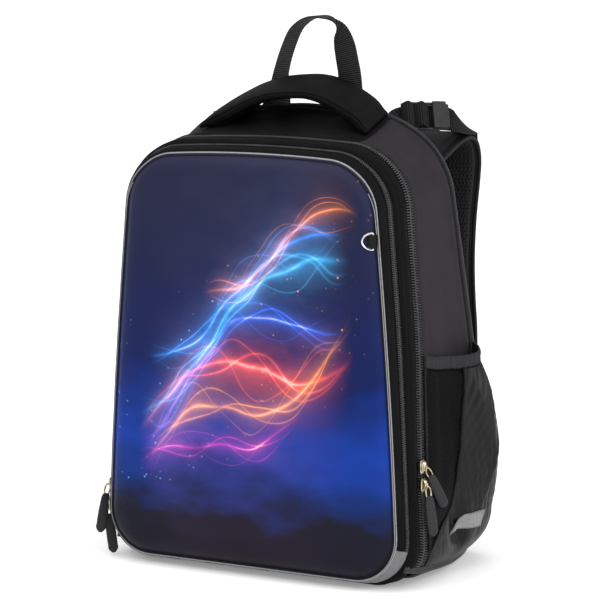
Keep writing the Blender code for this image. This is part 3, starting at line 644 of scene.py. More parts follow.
def ribbed_elastic():
    """Black elastic of the pocket hems: fine cords along it with short cross floats."""
    w = Wiring("pocket_elastic", rough=0.6)
    place = w.place()
    x, y, z = w.split(place)
    cords = w.math("ABSOLUTE", w.math("SINE", w.math("MULTIPLY", z, math.pi / 0.0013)))
    floats = w.math("ABSOLUTE", w.math("SINE", w.math("MULTIPLY", y, math.pi / 0.0009)))
    height = w.math("MULTIPLY", cords, w.math("MULTIPLY_ADD", floats, 0.6, 0.4))
    fine = w.noise(place, 900.0, 2.0)
    # Painted highlight and shade: lighter colour on the cords' crowns, darker between them.
    w.set("Base Color", w.mix(w.ramp(w.math("MULTIPLY_ADD", fine, 0.3, height), 0.2, 1.1), (0.006, 0.006, 0.007), (0.042, 0.042, 0.045)))
    w.set("Specular IOR Level", 0.2)
    w.bump(height, 0.00030)
    return w.material


def satin_cloth():
    """Thin black satin of the side pockets: long fine floats that catch the light as painted sheen, with slow creases,
    and painted shade towards the foot.
    """
    w = Wiring("satin_cloth", rough=0.36)
    uv = w.uv()
    slow = w.noise(uv, 26.0, 4.0, 0.55, (1.0, 0.45, 1.0))
    floats = w.noise(uv, 700.0, 2.0, 0.5, (3.2, 0.35, 1.0))
    # Painted sheen: lighter colour along the floats and on the creases' crowns.
    cloth = w.mix(w.ramp(w.math("MULTIPLY_ADD", floats, 0.5, slow), 0.45, 1.0), (0.0060, 0.0060, 0.0068), (0.0215, 0.0215, 0.0235))
    # Painted shade: the satin darkens to near black towards the foot.
    height = w.split(w.place())[2]
    w.set("Base Color", w.mix(w.ramp(height, 0.06, 0.18, 0.25, 1.0), (0.0006, 0.0006, 0.0007), cloth))
    w.set("Roughness", w.ramp(slow, 0.3, 0.7, 0.33, 0.44))
    w.set("Specular IOR Level", 0.17)
    w.bump(w.math("MULTIPLY_ADD", floats, 0.18, slow), 0.0007, 0.5)
    return w.material


def nylon(name, colour, rough=0.38, gloss=0.35):
    """Moulded nylon or plastic: fine mould grain and a touch of unevenness towards a lighter tone."""
    w = Wiring(name, rough=rough)
    place = w.place()
    grain = w.noise(place, 1800.0, 2.0)
    slow = w.noise(place, 120.0, 2.0)
    light = tuple(min(1.0, c * 1.7 + 0.004) for c in colour)
    w.set("Specular IOR Level", gloss)
    w.set("Base Color", w.mix(w.ramp(slow, 0.4, 0.8), colour, light))
    w.set("Roughness", w.ramp(grain, 0.3, 0.7, rough - 0.06, rough + 0.08))
    w.bump(grain, 0.00003)
    return w.material


def plated(name, colour, wear_and_highlight, rough):
    """Plated metal: mottled tarnish over a brighter ground, the bright mottles both wear and painted highlight, with
    hairline scratches.
    """
    w = Wiring(name, rough=rough, metal=1.0)
    place = w.place()
    slow = w.noise(place, 260.0, 4.0, 0.6)
    fine = w.noise(place, 2400.0, 2.0, 0.5, (1.0, 1.0, 0.15))
    # The brighter colour is both bare wear and painted highlight, mixed in by slow noise.
    w.set("Base Color", w.mix(w.ramp(slow, 0.40, 0.65), colour, wear_and_highlight))
    w.set("Roughness", w.ramp(w.math("ADD", w.math("MULTIPLY", slow, 0.6), w.math("MULTIPLY", fine, 0.4)), 0.3, 0.7, rough - 0.07, rough + 0.10))
    w.bump(fine, 0.00002)
    return w.material


def soft_rubber():
    """Grey-black soft rubber of the zip pulls: fine matte grain."""
    w = Wiring("soft_rubber", rough=0.5)
    place = w.place()
    grain = w.noise(place, 1500.0, 3.0)
    w.set("Base Color", w.mix(w.ramp(grain, 0.35, 0.75), (0.020, 0.020, 0.022), (0.044, 0.044, 0.047)))
    w.set("Roughness", w.ramp(grain, 0.3, 0.7, 0.42, 0.58))
    w.bump(grain, 0.00004)
    return w.material


FINISH = {
    "print": printed_front(),
    "smooth": smooth_cloth(),
    "side": woven("side_cloth", (0.013, 0.0115, 0.0135), (0.046, 0.040, 0.047), 0.80, (0.00075, 0.00075), 0.00016),
    "grey": reflective_cloth("reflective_piping", 0.30),
    "band": reflective_cloth("reflective_band", 0.17),
    "flag": reflective_cloth("reflective_flag", 0.23),
    "tape": woven("zip_tape", (0.001, 0.001, 0.0012), (0.006, 0.006, 0.0065), 0.70, (0.0006, 0.0012), 0.00014),
    # The coil's grey, lighter than the black tape, is partly painted highlight for the glints on the teeth.
    "coil": nylon("zip_coil", (0.040, 0.040, 0.042), 0.26, 0.7),
    "trim": woven("binding", (0.006, 0.006, 0.0065), (0.022, 0.022, 0.024), 0.60, (0.0009, 0.0014), 0.00018),
    "cord": woven("piping_cloth", (0.020, 0.019, 0.021), (0.072, 0.069, 0.074), 0.42, (0.0009, 0.0014), 0.00018),
    "thread": nylon("thread", (0.018, 0.018, 0.020), 0.5),
    "webbing": ribbed_webbing("ribbed_webbing", 0.024),
    "loop": ribbed_webbing("loop_webbing", 0.062),
    "net": woven("netting_thread", (0.0025, 0.0025, 0.0028), (0.0125, 0.0125, 0.0135), 0.55, (0.0004, 0.0004), 0.00008, 0.0),
    # A near-black sheet behind the netting's eyes: painted shade of the pocket's inside.
    "net_shade": woven("netting_painted_shade", (0.001, 0.001, 0.0012), (0.003, 0.003, 0.0033), 0.85, (0.0006, 0.0006), 0.00008, 0.0),
    "elastic": ribbed_elastic(),
    "spacer": netting("strap_netting", 0.70, (0.0040, 0.0036), (0.009, 0.009, 0.010), (0.026, 0.026, 0.028), 0.0003),
    "satin": satin_cloth(),
    "pad": woven("strap_cloth", (0.010, 0.0098, 0.0105), (0.032, 0.031, 0.034), 0.78, (0.0008, 0.0008), 0.00014),
    "board": nylon("base_board", (0.010, 0.010, 0.011), 0.55, 0.2),
    "base": woven("base_cloth", (0.007, 0.007, 0.0075), (0.024, 0.024, 0.025), 0.60, (0.0011, 0.0011), 0.0002, 0.05),
    # The second colour of each plating is wear and painted highlight in one.
    "brass": plated("antique_brass", (0.30, 0.24, 0.14), (0.66, 0.58, 0.42), 0.20),
    "nickel": plated("bright_nickel", (0.66, 0.65, 0.63), (0.78, 0.77, 0.75), 0.16),
    "rubber": soft_rubber(),
    "plastic": nylon("buckle_plastic", (0.012, 0.012, 0.013), 0.42),
}


def skin_band(shape, profile, t, flip=True, loop=False, wobble=None):
    """A strip of the body's skin: the profile's (depth, out) rows carried round the stations t."""
    profile = np.asarray(profile, float)
    depth, out = profile[:, :1], profile[:, 1:2]
    if wobble is not None:
        out = out + wobble
    return shape.grid(outline(depth, out, t[None, :]), round_i=loop, flip=flip)


def skin_bead(shape, depth, out, radius, t, loop=False, sides=10):
    """Piping on the skin: a round section of this radius about (depth, out)."""
    a = np.arange(sides) * math.tau / sides
    rows = outline(depth + radius * np.cos(a)[:, None], np.asarray(out) + radius * np.sin(a)[:, None], t[None, :])
    points = np.transpose(rows, (1, 0, 2))
    shape.grid(points, round_i=True, round_j=loop, flip=True)
    if not loop:
        shape.fan(points[0])
        shape.fan(points[-1], flip=True)
    return shape


def outward(depth, t, out=0.0):
    """Unit normals of the skin at stations t."""
    return unit(outline(depth, out + 0.001, t) - outline(depth, out, t))


def seam_row(shape, depth, out, t, pitch=0.0034, **options):
    """Stitches along the skin at a depth."""
    return stitches(shape, outline(depth, out, t), outward(depth, t, out), pitch, **options)


# Rise of the moulded front over its seam, by the inset from the seam.
FRONT_INSET = np.array([0.0, 0.0012, 0.0026, 0.0040, 0.0060, 0.0085, 0.0115, 0.0160, 0.0220])
FRONT_RISE = np.array([-0.0030, 0.0002, 0.0006, 0.0016, 0.0040, 0.0064, 0.0080, 0.0094, 0.0104])
FRONT_CROWN = 0.0142
FRONT_MIDDLE = 0.190
WHOLE_STEP = 0.0045


def front_surface(inset, share, t):
    """Point of the moulded front: out to FRONT_INSET's last value it follows the seam inset and
    rises by the table, and inside that it shrinks by share towards the middle and rises by
    crown - (crown - edge) * share^2."""
    edge_inset = FRONT_INSET[-1]
    inset, share, t = np.broadcast_arrays(inset, share, t)
    ring = outline(0.0, -np.minimum(inset, edge_inset), t)
    rise = hermite(inset, FRONT_INSET, FRONT_RISE)
    edge = FRONT_RISE[-1]
    rise = np.where(share < 1.0, FRONT_CROWN - (FRONT_CROWN - edge) * share**2, rise)
    x = ring[..., 0] * share
    z = FRONT_MIDDLE + (ring[..., 2] - FRONT_MIDDLE) * share
    soft = 0.0004 * ripple(x, z, 5, 0.09) * smooth_step(inset, 0.006, 0.02)
    return np.stack([x, 0.019 * z - rise + soft, z], -1)


def make_front():
    t = even_stations(0.0, 0.0, WHOLE_STEP)[0][:-1]
    insets = np.interp(np.linspace(0, 1, 26), np.linspace(0, 1, len(FRONT_INSET)), FRONT_INSET)
    shares = np.linspace(1.0, 0.0, 30)[1:]
    rows = np.concatenate([insets, np.full(len(shares), FRONT_INSET[-1])])
    scale = np.concatenate([np.ones(len(insets)), shares])
    points = front_surface(rows[:, None], scale[:, None], t[None, :])
    flat = np.stack([points[..., 0], points[..., 2]], -1)
    uv = np.concatenate([flat, flat[:, :1]], axis=1)
    panel = Shape().grid(points, round_i=True, uv=uv)
    panel.piece("front_panel_print", FINISH["print"], "printed_front", ("front_panel",), weld=1e-6)
    groove = Shape()
    skin_band(groove, [(0.0010, -0.0016), (-0.0006, -0.0022), (-0.0010, -0.0034), (0.0004, -0.0042)], t, loop=True)
    seam_row(groove, -0.0012, -0.0030, t, 0.0030, length=0.0022, loop=True)
    groove.piece("front_binding", FINISH["trim"], "black_trim")
    piping = Shape()
    high = smooth_step(np.minimum(t, 10 - t), 3.0, 4.0)
    skin_bead(piping, 0.0003 + 0.0006 * high, -0.0003 - 0.0006 * high, 0.00052 + 0.00022 * high, t, loop=True, sides=12)
    below = np.concatenate([t[t > 6.7], t[t < 3.3]])
    sunk = 0.0016 * smooth_step(np.minimum(below, 10 - below), 2.9, 3.3)
    skin_bead(piping, -0.0012, -0.0010 - sunk, 0.00038, below, sides=10)
    piping.piece("front_piping_bead", FINISH["grey"], "reflective_grey", ("front_piping",))


def puckers(t, length, seed, size, pitch):
    """Small in-and-out of a sewn strip along its length, in metres of standing proud."""
    s = t / 10.0 * length
    return size * ripple(s, s * 0.0, seed, pitch)


def make_gusset():
    t, length = even_stations(0.006, 0.0, WHOLE_STEP)
    t = t[:-1]
    low_end = station_at(0.012, 0.0365)
    top = (t > low_end) & (t < 10 - low_end)
    upper = np.concatenate([[low_end], t[top], [10 - low_end]])
    lower = np.concatenate([[10 - low_end], t[t > 10 - low_end], 10 + t[t < low_end], [10 + low_end]]) % 10.0
    roll = Shape()
    depths = np.linspace(RIM[0] - 0.0004, RIM[1], 12)
    share = np.linspace(0, 1, 12)
    out = 0.0023 * np.sin(math.pi * share) ** 0.6 - 0.0004
    wobble = puckers(upper, length, 11, 0.00022, 0.014)[None, :] * np.sin(math.pi * share)[:, None]
    skin_band(roll, np.stack([depths, out], -1), upper, wobble=wobble)
    seam_row(roll, RIM[1] - 0.0008, 0.0010, upper, 0.0032)
    roll.piece("rim_roll_cloth", FINISH["smooth"], "black_cloth", ("rim_roll",))
    band = Shape()
    edge = ZIP_FRONT + 0.0026
    depths = np.linspace(RIM[0] - 0.0004, edge, 10)
    share = np.linspace(0, 1, 10)
    out = 0.0014 * np.sin(math.pi * share) ** 0.5 - 0.0003
    crumple = puckers(lower, length, 13, 0.00045, 0.022) + puckers(lower, length, 14, 0.0003, 0.007)
    crumple = crumple[None, :] * np.sin(math.pi * share)[:, None]
    skin_band(band, np.stack([depths, out], -1), lower, wobble=crumple)
    band.piece("reflective_base_band", FINISH["band"], "reflective_grey", ("reflective_band",))
    strip = Shape()
    rows = [
        (ZIP_FRONT + 0.0030, -0.0004), (ZIP_FRONT + 0.0034, 0.0012), (ZIP_FRONT + 0.0044, 0.0017),
        (RIDGE - 0.0022, 0.0009), (RIDGE - 0.0018, 0.0014), (RIDGE - 0.0010, 0.0026), (RIDGE, 0.0030),
        (RIDGE + 0.0010, 0.0025), (RIDGE + 0.0016, 0.0010), (RIDGE + 0.0020, -0.0002), (RIDGE + 0.0026, 0.0006),
        (0.0245, 0.0016), (0.0280, 0.0022), (0.0308, 0.0019), (0.0317, 0.0008), (0.0325, -0.0006),
        (0.0334, -0.0010),
    ]
    rows = np.array(rows)
    soft = smooth_step(rows[:, 0], RIDGE + 0.002, 0.026) * (1 - smooth_step(rows[:, 0], 0.029, 0.032))
    wobble = puckers(t, length, 17, 0.00025, 0.020)[None, :] * soft[:, None]
    skin_band(strip, rows, t, loop=True, wobble=wobble)
    seam_row(strip, 0.0240, 0.0014, t, loop=True)
    seam_row(strip, 0.0300, 0.0020, t, loop=True)
    seam_row(strip, ZIP_FRONT + 0.0046, 0.0015, upper)
    strip.piece("gusset_cloth", FINISH["smooth"], "black_cloth", ("front_gusset",))
    make_zip("front", ZIP_FRONT - 0.0008, 0.0056, 0.0072, 0.00190, 0.00085, low_end)
    make_zip("main", ZIP_MAIN, 0.0118, 0.0140, 0.0023, 0.00125, station_at(ZIP_MAIN, 0.0200))


def make_zip(name, depth, chain, tape, pitch, proud, low_end):
    """A coil zip on the skin: a woven tape each side and one row of teeth from either tape, the two
    rows half a pitch apart. A tooth is a bar across the zip that rises as a half ellipse."""
    t, length = even_stations(depth, 0.0, WHOLE_STEP, low_end, 10 - low_end)
    band = Shape()
    rows = [(depth - tape / 2 - 0.0012, -0.0012), (depth - chain / 2 - 0.0006, -0.0002), (depth - 0.0002, 0.0002),
            (depth + 0.0002, 0.0002), (depth + chain / 2 + 0.0006, -0.0002), (depth + tape / 2 + 0.0012, -0.0012)]
    skin_band(band, rows, t)
    band.piece(f"zip_{name}_tape", FINISH["tape"], "zip_black")
    teeth = Shape()
    s, _ = even_stations(depth, 0.0, pitch / 2, low_end, 10 - low_end)
    for side, start in ((-1, 0), (1, 1)):
        at = s[start::2]
        slim = 1 - 0.48 * smooth_step(np.minimum(at, 10 - at), 3.0, 3.9)
        near = outline(depth + side * chain / 2 * slim, 0.0003, at)
        far = outline(depth - side * chain * 0.10 * slim, 0.0003, at)
        up = outward(depth, at)
        ahead = unit(np.gradient(outline(depth, 0.0, at), axis=0))
        across = far - near
        columns = []
        for share, lift in ((0.0, 0.25), (0.18, 0.86), (0.5, 1.0), (0.85, 0.86), (1.0, 0.35)):
            hub = near + across * share + up * (proud * lift * slim[:, None])
            wide = pitch * 0.40 * (1.0 if share < 0.8 else 1.12)
            for dx, dz in ((-1.0, -1.2), (-0.72, 0.0), (0.0, 0.45), (0.72, 0.0), (1.0, -1.2)):
                columns.append(hub + ahead * (dx * wide / 2) + up * (dz * proud * 0.6))
        points = np.stack(columns, axis=1)
        faces = []
        for k in range(4):
            for j in range(4):
                a, b = k * 5 + j, k * 5 + j + 1
                faces.append((a, b, b + 5, a + 5) if side > 0 else (a, a + 5, b + 5, b))
        teeth.many(points, faces)
    teeth.piece(f"zip_{name}_coil", FINISH["coil"], "zip_black", (f"zip_{name}",))


# Seam between the sides and the underside: depth and height.
BASE_LINE = np.array([(0.0185, 0.0200), (0.0350, 0.0165), (0.0740, 0.0115), (0.1000, 0.0102), (0.1664, 0.0095)])
TOP_SEAM_X = 0.084
SHELL_RIM = np.array([(0.0470, -0.0007), (0.0476, 0.0004), (0.0490, 0.0010), (0.0600, 0.0012), (0.1400, 0.0012), (0.1590, 0.0008), (0.1606, -0.0002)])


def wall_station(depth, z):
    """Station on the +X side at a height: the side is straight in its station, and the low corner
    is an arc whose angle is the arcsine of the height over the corner's middle."""
    value = {n: hermite(depth, SECTIONS[:, 0], SECTIONS[:, k]) for k, n in enumerate(SECTION_COLUMNS) if k}
    slope = np.arctan2(value["low_half"] - value["top_half"], value["top_z"] - value["low_z"])
    low_c, top_c = value["low_z"] + value["low_r"], value["top_z"] - value["top_r"]
    z0 = low_c + value["low_r"] * np.sin(slope)
    z1 = top_c + value["top_r"] * np.sin(slope)
    turn = np.arcsin(np.clip((z - low_c) / value["low_r"], -1, 1))
    arc = 1 + (turn + math.pi / 2) / (math.pi / 2 + slope)
    return np.where(z > z0, np.clip(2 + (z - z0) / (z1 - z0), 2, 3), arc)


def wall_point(depth, z, off=0.0):
    """Point of the +X side wall at a depth and height, stood off sideways."""
    depth, z, off = np.broadcast_arrays(np.asarray(depth, float), z, off)
    point = outline(depth, 0.0, wall_station(depth, z))
    point[..., 0] += off
    return point


def depth_of(y, z):
    """Depth of the skin whose side wall passes y at height z, by repeated y - lean * z."""
    depth = np.asarray(y, float)
    for _ in range(6):
        depth = y - np.interp(depth, SECTIONS[:, 0], SECTIONS[:, 1]) * z
    return depth


def stretch_of(shape, depths, starts, ends, count, seed, seams=(True, True)):
    """A panel of the skin between two lines of stations, evenly spaced along each depth, with a
    groove (exponential in the distance) where it is sewn and a soft wandering of its surface."""
    lines = []
    for depth, start, end in zip(depths, starts, ends):
        t = np.linspace(start, end, 160)
        path = outline(depth, 0.0, t)
        along = np.concatenate([[0], np.cumsum(np.linalg.norm(np.diff(path, axis=0), axis=1))])
        share = (1 - np.cos(np.linspace(0, math.pi, count))) / 2
        share = 0.4 * share + 0.6 * np.linspace(0, 1, count)
        lines.append((np.interp(share * along[-1], along, t), share * along[-1]))
    t = np.array([line[0] for line in lines])
    far = np.array([line[1] for line in lines])
    out = hermite(depths, SHELL_RIM[:, 0], SHELL_RIM[:, 1])[:, None] + np.zeros_like(t)
    for wanted, distance in zip(seams, (far, far[:, -1:] - far)):
        if wanted:
            out = out - 0.0016 * np.exp(-distance / 0.0014)
    middle = smooth_step(far, 0.0, 0.02) * smooth_step(far[:, -1:] - far, 0.0, 0.02)
    out = out + 0.0004 * ripple(far, depths[:, None], seed, 0.07) * middle
    points = outline(depths[:, None], out, t)
    shape.grid(points, flip=True)
    return t


def make_shell():
    depths = np.concatenate([np.linspace(0.0470, 0.0499, 7)[:-1], np.linspace(0.0499, 0.1580, 44)[:-1], np.linspace(0.1580, 0.1606, 5)])
    low = np.array([wall_station(d, np.interp(d, BASE_LINE[:, 0], BASE_LINE[:, 1])) for d in depths])
    high = np.array([station_x(d, TOP_SEAM_X) for d in depths])
    side = Shape()
    stretch_of(side, depths, low, high, 110, 21)
    edge = high - 0.030
    seam_row(side, depths, 0.0009, edge)
    side.piece("side_panel_left", FINISH["side"], "black_cloth", ("main_shell",))
    side.mirror().piece("side_panel_right", FINISH["side"], "black_cloth")
    top = Shape()
    stretch_of(top, depths, high, 10 - high, 70, 22)
    seam_row(top, depths, 0.0009, high + 0.030)
    seam_row(top, depths, 0.0009, 10 - high - 0.030)
    top.piece("top_panel", FINISH["smooth"], "black_cloth")
    under = Shape()
    stretch_of(under, depths, 10 - low, 10 + low, 70, 23)
    under.piece("underside", FINISH["base"], "black_cloth")
    cord = Shape()
    path_depths = np.linspace(0.0180, 0.1600, 90)
    at = wall_station(path_depths, np.interp(path_depths, BASE_LINE[:, 0], BASE_LINE[:, 1]))
    over = 0.0024 + 0.0008 * np.exp(-(((path_depths - RIDGE) / 0.0030) ** 2))
    path = outline(path_depths, over, at)
    tube(cord, path, disc(0.0016, 12), np.broadcast_to(np.array([1.0, 0.0, -0.4]), path.shape))
    flap = outline(path_depths, over - 0.0004, at + 0.030)
    tube(cord, flap, box_section(0.0050, 0.0010, 0.0004, 2), np.broadcast_to(np.array([0.2, 0.0, 1.0]), path.shape))
    cord.piece("base_piping_left", FINISH["cord"], "black_trim", ("base_trim_left",))
    cord.mirror().piece("base_piping_right", FINISH["cord"], "black_trim", ("base_trim_right",))


def make_board():
    """Base board on the floor: a rounded rectangle with a soft edge, in three rings and a crown."""
    a = np.linspace(0, math.tau, 96, endpoint=False)
    centre = np.stack([0.096 * np.sign(np.cos(a)), 0.090 + 0.026 * np.sign(np.sin(a)), np.zeros(96)], -1)
    round_it = np.stack([np.cos(a), np.sin(a), np.zeros(96)], -1)
    rows = ((0.0292, 0.0), (0.0300, 0.0006), (0.0300, 0.0018), (0.0292, 0.0024))
    rings = np.array([centre + round_it * reach + np.array([0, 0, z]) for reach, z in rows])
    board = Shape()
    board.grid(rings, round_i=True)
    board.fan(rings[0], flip=True)
    board.fan(rings[-1])
    board.piece("base_board", FINISH["board"], "black_trim", ("base_plate",), sharp=35)


def make_back():
    t = even_stations(BACK_SEAM, 0.0, WHOLE_STEP)[0][:-1]
    bead = Shape()
    skin_bead(bead, BACK_SEAM, 0.0008, 0.0022, t, loop=True, sides=14)
    bead.piece("back_piping_bead", FINISH["cord"], "black_trim", ("back_piping",))
    tape = Shape()
    rows = [(0.1594, -0.0004), (0.1597, 0.0010), (0.1604, 0.0016), (0.1636, 0.0018), (0.1646, 0.0012), (0.1650, -0.0004)]
    skin_band(tape, rows, t, loop=True)
    seam_row(tape, 0.1608, 0.0017, t, loop=True)
    tape.piece("back_binding", FINISH["trim"], "black_trim")
    t = even_stations(BACK_SEAM, 0.0, 0.008)[0][:-1]
    insets = np.array([0.0022, 0.0030, 0.0042, 0.0060, 0.0085, 0.0115, 0.0160, 0.0220, 0.0280])
    rises = np.array([-0.0030, 0.0004, 0.0030, 0.0048, 0.0058, 0.0062, 0.0064, 0.0064, 0.0064])
    shares = np.linspace(1.0, 0.0, 22)[1:]
    ring = outline(BACK_SEAM, -insets[:, None], t[None, :])
    ring[..., 1] += rises[:, None]
    last, middle_z = ring[-1], 0.195
    x = last[None, :, 0] * shares[:, None]
    z = middle_z + (last[None, :, 2] - middle_z) * shares[:, None]
    y = BACK_SEAM + SECTIONS[-1, 1] * z + rises[-1]
    points = np.concatenate([ring, np.stack([x, y, z], -1)])
    flat = np.stack([points[..., 0], points[..., 2]], -1)
    uv = np.concatenate([flat, flat[:, :1]], axis=1)
    pad = Shape().grid(points, round_i=True, uv=uv, flip=True)
    made = pad.piece("back_pad", FINISH["pad"], "padded_cloth", ("back_panel",), weld=1e-6)
    place = vertices_of(made)
    across, height = np.abs(place[:, 0]), place[:, 2]
    rim = (place[:, 1] - SHIFT[1] - BACK_SEAM - SECTIONS[-1, 1] * height) < 0.0050
    channel = (across < 0.017) & (height < 0.30)
    cross = np.abs(height - 0.275 - 0.05 * (across / 0.12) ** 2) < 0.009
    puff(made, rim | channel | cross, 6.0, 0.010)


def vertices_of(made):
    """The piece's points, one row each."""
    points = np.empty(len(made.data.vertices) * 3)
    made.data.vertices.foreach_get("co", points)
    return points.reshape(-1, 3)


def puff(made, held, pressure, cap):
    """Pressure simulation of a padded cover: it swells for 20 frames while the held points stay.
    A move m is kept as cap * tanh(m / cap), and the result is written into the mesh."""
    start = vertices_of(made)
    group = made.vertex_groups.new(name="held")
    group.add(np.flatnonzero(held).tolist(), 1.0, "REPLACE")
    cover = made.modifiers.new("cover", "CLOTH")
    settings = cover.settings
    settings.vertex_group_mass = "held"
    settings.quality = 6
    settings.mass = 0.2
    settings.tension_stiffness = settings.compression_stiffness = 12.0
    settings.shear_stiffness = 5.0
    settings.bending_stiffness = 0.6
    settings.use_pressure = True
    settings.uniform_pressure_force = pressure
    settings.effector_weights.gravity = 0.0
    cover.point_cache.frame_start, cover.point_cache.frame_end = 1, 20
    for number in range(1, 21):
        SCENE.frame_set(number)
    whole = made.evaluated_get(bpy.context.evaluated_depsgraph_get())
    mesh = whole.to_mesh()
    points = np.empty(len(mesh.vertices) * 3)
    mesh.vertices.foreach_get("co", points)
    whole.to_mesh_clear()
    move = points.reshape(-1, 3) - start
    size = np.maximum(np.linalg.norm(move, axis=1, keepdims=True), 1e-9)
    move = move / size * cap * np.tanh(size / cap)
    made.modifiers.remove(cover)
    made.vertex_groups.remove(group)
    made.data.vertices.foreach_set("co", (start + move).ravel())
    made.data.update()
    SCENE.frame_set(1)


HANDLE_ROWS = (
    (0.0818, 0.0895, 0.3945, 0.0450, 0.0052, 22.0),
    (0.0765, 0.0905, 0.3992, 0.0450, 0.0064, 21.0),
    (0.0680, 0.0920, 0.4065, 0.0448, 0.0072, 20.0),
    (0.0540, 0.0925, 0.4140, 0.0450, 0.0084, 20.0),
    (0.0380, 0.0920, 0.4208, 0.0445, 0.0096, 20.0),
    (0.0200, 0.0920, 0.4240, 0.0440, 0.0104, 20.0),
    (0.0000, 0.0920, 0.4234, 0.0440, 0.0106, 20.0),
    (-0.0200, 0.0920, 0.4210, 0.0440, 0.0104, 20.0),
    (-0.0380, 0.0920, 0.4160, 0.0445, 0.0096, 20.0),
    (-0.0540, 0.0925, 0.4095, 0.0450, 0.0084, 20.0),
    (-0.0690, 0.0920, 0.4025, 0.0448, 0.0072, 20.0),
    (-0.0790, 0.0905, 0.3975, 0.0450, 0.0062, 21.0),
    (-0.0845, 0.0895, 0.3940, 0.0450, 0.0052, 22.0),
)
# Thickness of the handle's padding and the turn of its section, by the distance from the middle.
HANDLE_PAD = np.array([
    (0.0, 0.0092, 20.0), (0.020, 0.0096, 20.0), (0.038, 0.0112, 20.0), (0.054, 0.0134, 20.0),
    (0.068, 0.0140, 19.0), (0.076, 0.0112, 18.0), (0.081, 0.0072, 18.0), (0.085, 0.0050, 18.0),
])
LOOP_ROWS = (
    (0.0400, 0.1224, 0.3830, 0.0), (0.0400, 0.1208, 0.4000, -2.0), (0.0398, 0.1222, 0.4150, -6.0),
    (0.0378, 0.1238, 0.4330, -9.0), (0.0353, 0.1240, 0.4462, -11.0), (0.0325, 0.1242, 0.4594, -15.0),
    (0.0285, 0.1245, 0.4720, -32.0), (0.0225, 0.1248, 0.4795, -58.0), (0.0142, 0.1250, 0.4834, -80.0),
    (0.0055, 0.1252, 0.4843, -90.0), (-0.0035, 0.1255, 0.4824, -90.0), (-0.0118, 0.1258, 0.4776, -90.0),
    (-0.0188, 0.1260, 0.4700, -91.0), (-0.0272, 0.1262, 0.4520, -92.0), (-0.0333, 0.1264, 0.4330, -95.0),
    (-0.0356, 0.1267, 0.4180, -106.0), (-0.0366, 0.1262, 0.4090, -128.0), (-0.0374, 0.1224, 0.3985, -166.0),
    (-0.0375, 0.1224, 0.3830, -180.0),
)
WEBBING, WEBBING_THICK, RIB = 0.0250, 0.0016, 0.0018


def make_handle():
    rows = catmull(HANDLE_ROWS, 90)
    path, width = rows[:, :3], rows[:, 3]
    reach = np.abs(path[:, 0])
    thick = hermite(reach, HANDLE_PAD[:, 0], HANDLE_PAD[:, 1])
    tilt = np.radians(hermite(reach, HANDLE_PAD[:, 0], HANDLE_PAD[:, 2]))
    down = np.stack([np.zeros_like(tilt), np.sin(tilt), -np.cos(tilt)], -1)
    path = path + down * ((thick - rows[:, 4]) / 2)[:, None]
    side = np.stack([np.zeros_like(tilt), np.cos(tilt), np.sin(tilt)], -1)
    a = np.linspace(0, math.tau, 64, endpoint=False)
    u, v = np.cos(a), np.sin(a)
    across = np.sign(u) * np.abs(u) ** 0.55
    high = np.sign(v) * np.abs(v) ** 0.62
    notch = sum(np.exp(-(((a - at + math.pi) % math.tau - math.pi) / 0.07) ** 2) for at in (3.55, 2.80, 5.87))
    size = 1 - 0.075 * notch
    gather = np.cos(np.arange(90)[:, None] * 1.35) * np.maximum(-high, 0.0)[None] * np.maximum(-across, 0.0)[None]
    gather = gather * smooth_step(reach, 0.03, 0.06)[:, None] * 0.0004
    section = np.stack([across[None] * size[None] * width[:, None] / 2, high[None] * size[None] * thick[:, None] / 2 + gather], -1)
    over = unit(np.cross(tangents(path), side))
    points = path[:, None] + side[:, None] * section[..., :1] + over[:, None] * section[..., 1:]
    pad = Shape()
    pad.grid(points, round_i=True)
    pad.fan(points[0], flip=True)
    pad.fan(points[-1])
    made = pad.piece("carry_handle_pad", FINISH["smooth"], "handle_cloth", ("carry_handle",), weld=1e-6)
    place = vertices_of(made) - SHIFT
    ends = np.abs(place[:, 0]) > 0.0845
    seams = np.zeros(len(place), bool)
    seams[: 64 * 90] = np.tile(notch > 0.6, 90)[: 64 * 90] if len(place) >= 64 * 90 else False
    puff(made, ends | seams, 5.0, 0.0014)


def webbing_run(shape, path, side, width=WEBBING, thick=WEBBING_THICK):
    """Ribbed webbing along a path: its thickness swells and shrinks as a cosine of the length."""
    step = np.linalg.norm(np.diff(path, axis=0), axis=1)
    along = np.concatenate([[0], np.cumsum(step)])
    count = int(along[-1] / (RIB / 4)) + 1
    s = np.linspace(0, along[-1], count)
    line = np.stack([np.interp(s, along, path[:, k]) for k in range(3)], -1)
    wide = np.stack([np.interp(s, along, side[:, k]) for k in range(3)], -1)
    base = box_section(width, thick, 0.0006, 2)
    swell = 1.0 + 0.34 * np.cos(s * math.tau / RIB)
    section = np.stack([np.broadcast_to(base[:, 0], (count, len(base))), base[None, :, 1] * swell[:, None]], -1)
    points = sweep(line, section, wide)
    round_it = np.linalg.norm(np.diff(base, axis=0, append=base[:1]), axis=1)
    u = np.concatenate([[0], np.cumsum(round_it)])
    uv = np.stack(np.broadcast_arrays(u[None, :], s[:, None]), -1)
    shape.grid(points, round_i=True, uv=uv)
    shape.fan(points[0], flip=True)
    return shape.fan(points[-1])


def make_loop():
    rows = catmull(LOOP_ROWS, 160)
    turn = np.radians(rows[:, 3])
    side = np.stack([np.cos(turn), np.sin(turn), np.zeros_like(turn)], -1)
    strip = Shape()
    webbing_run(strip, rows[:, :3], side)
    strip.piece("hang_loop_webbing", FINISH["loop"], "black_webbing", ("hang_loop",))


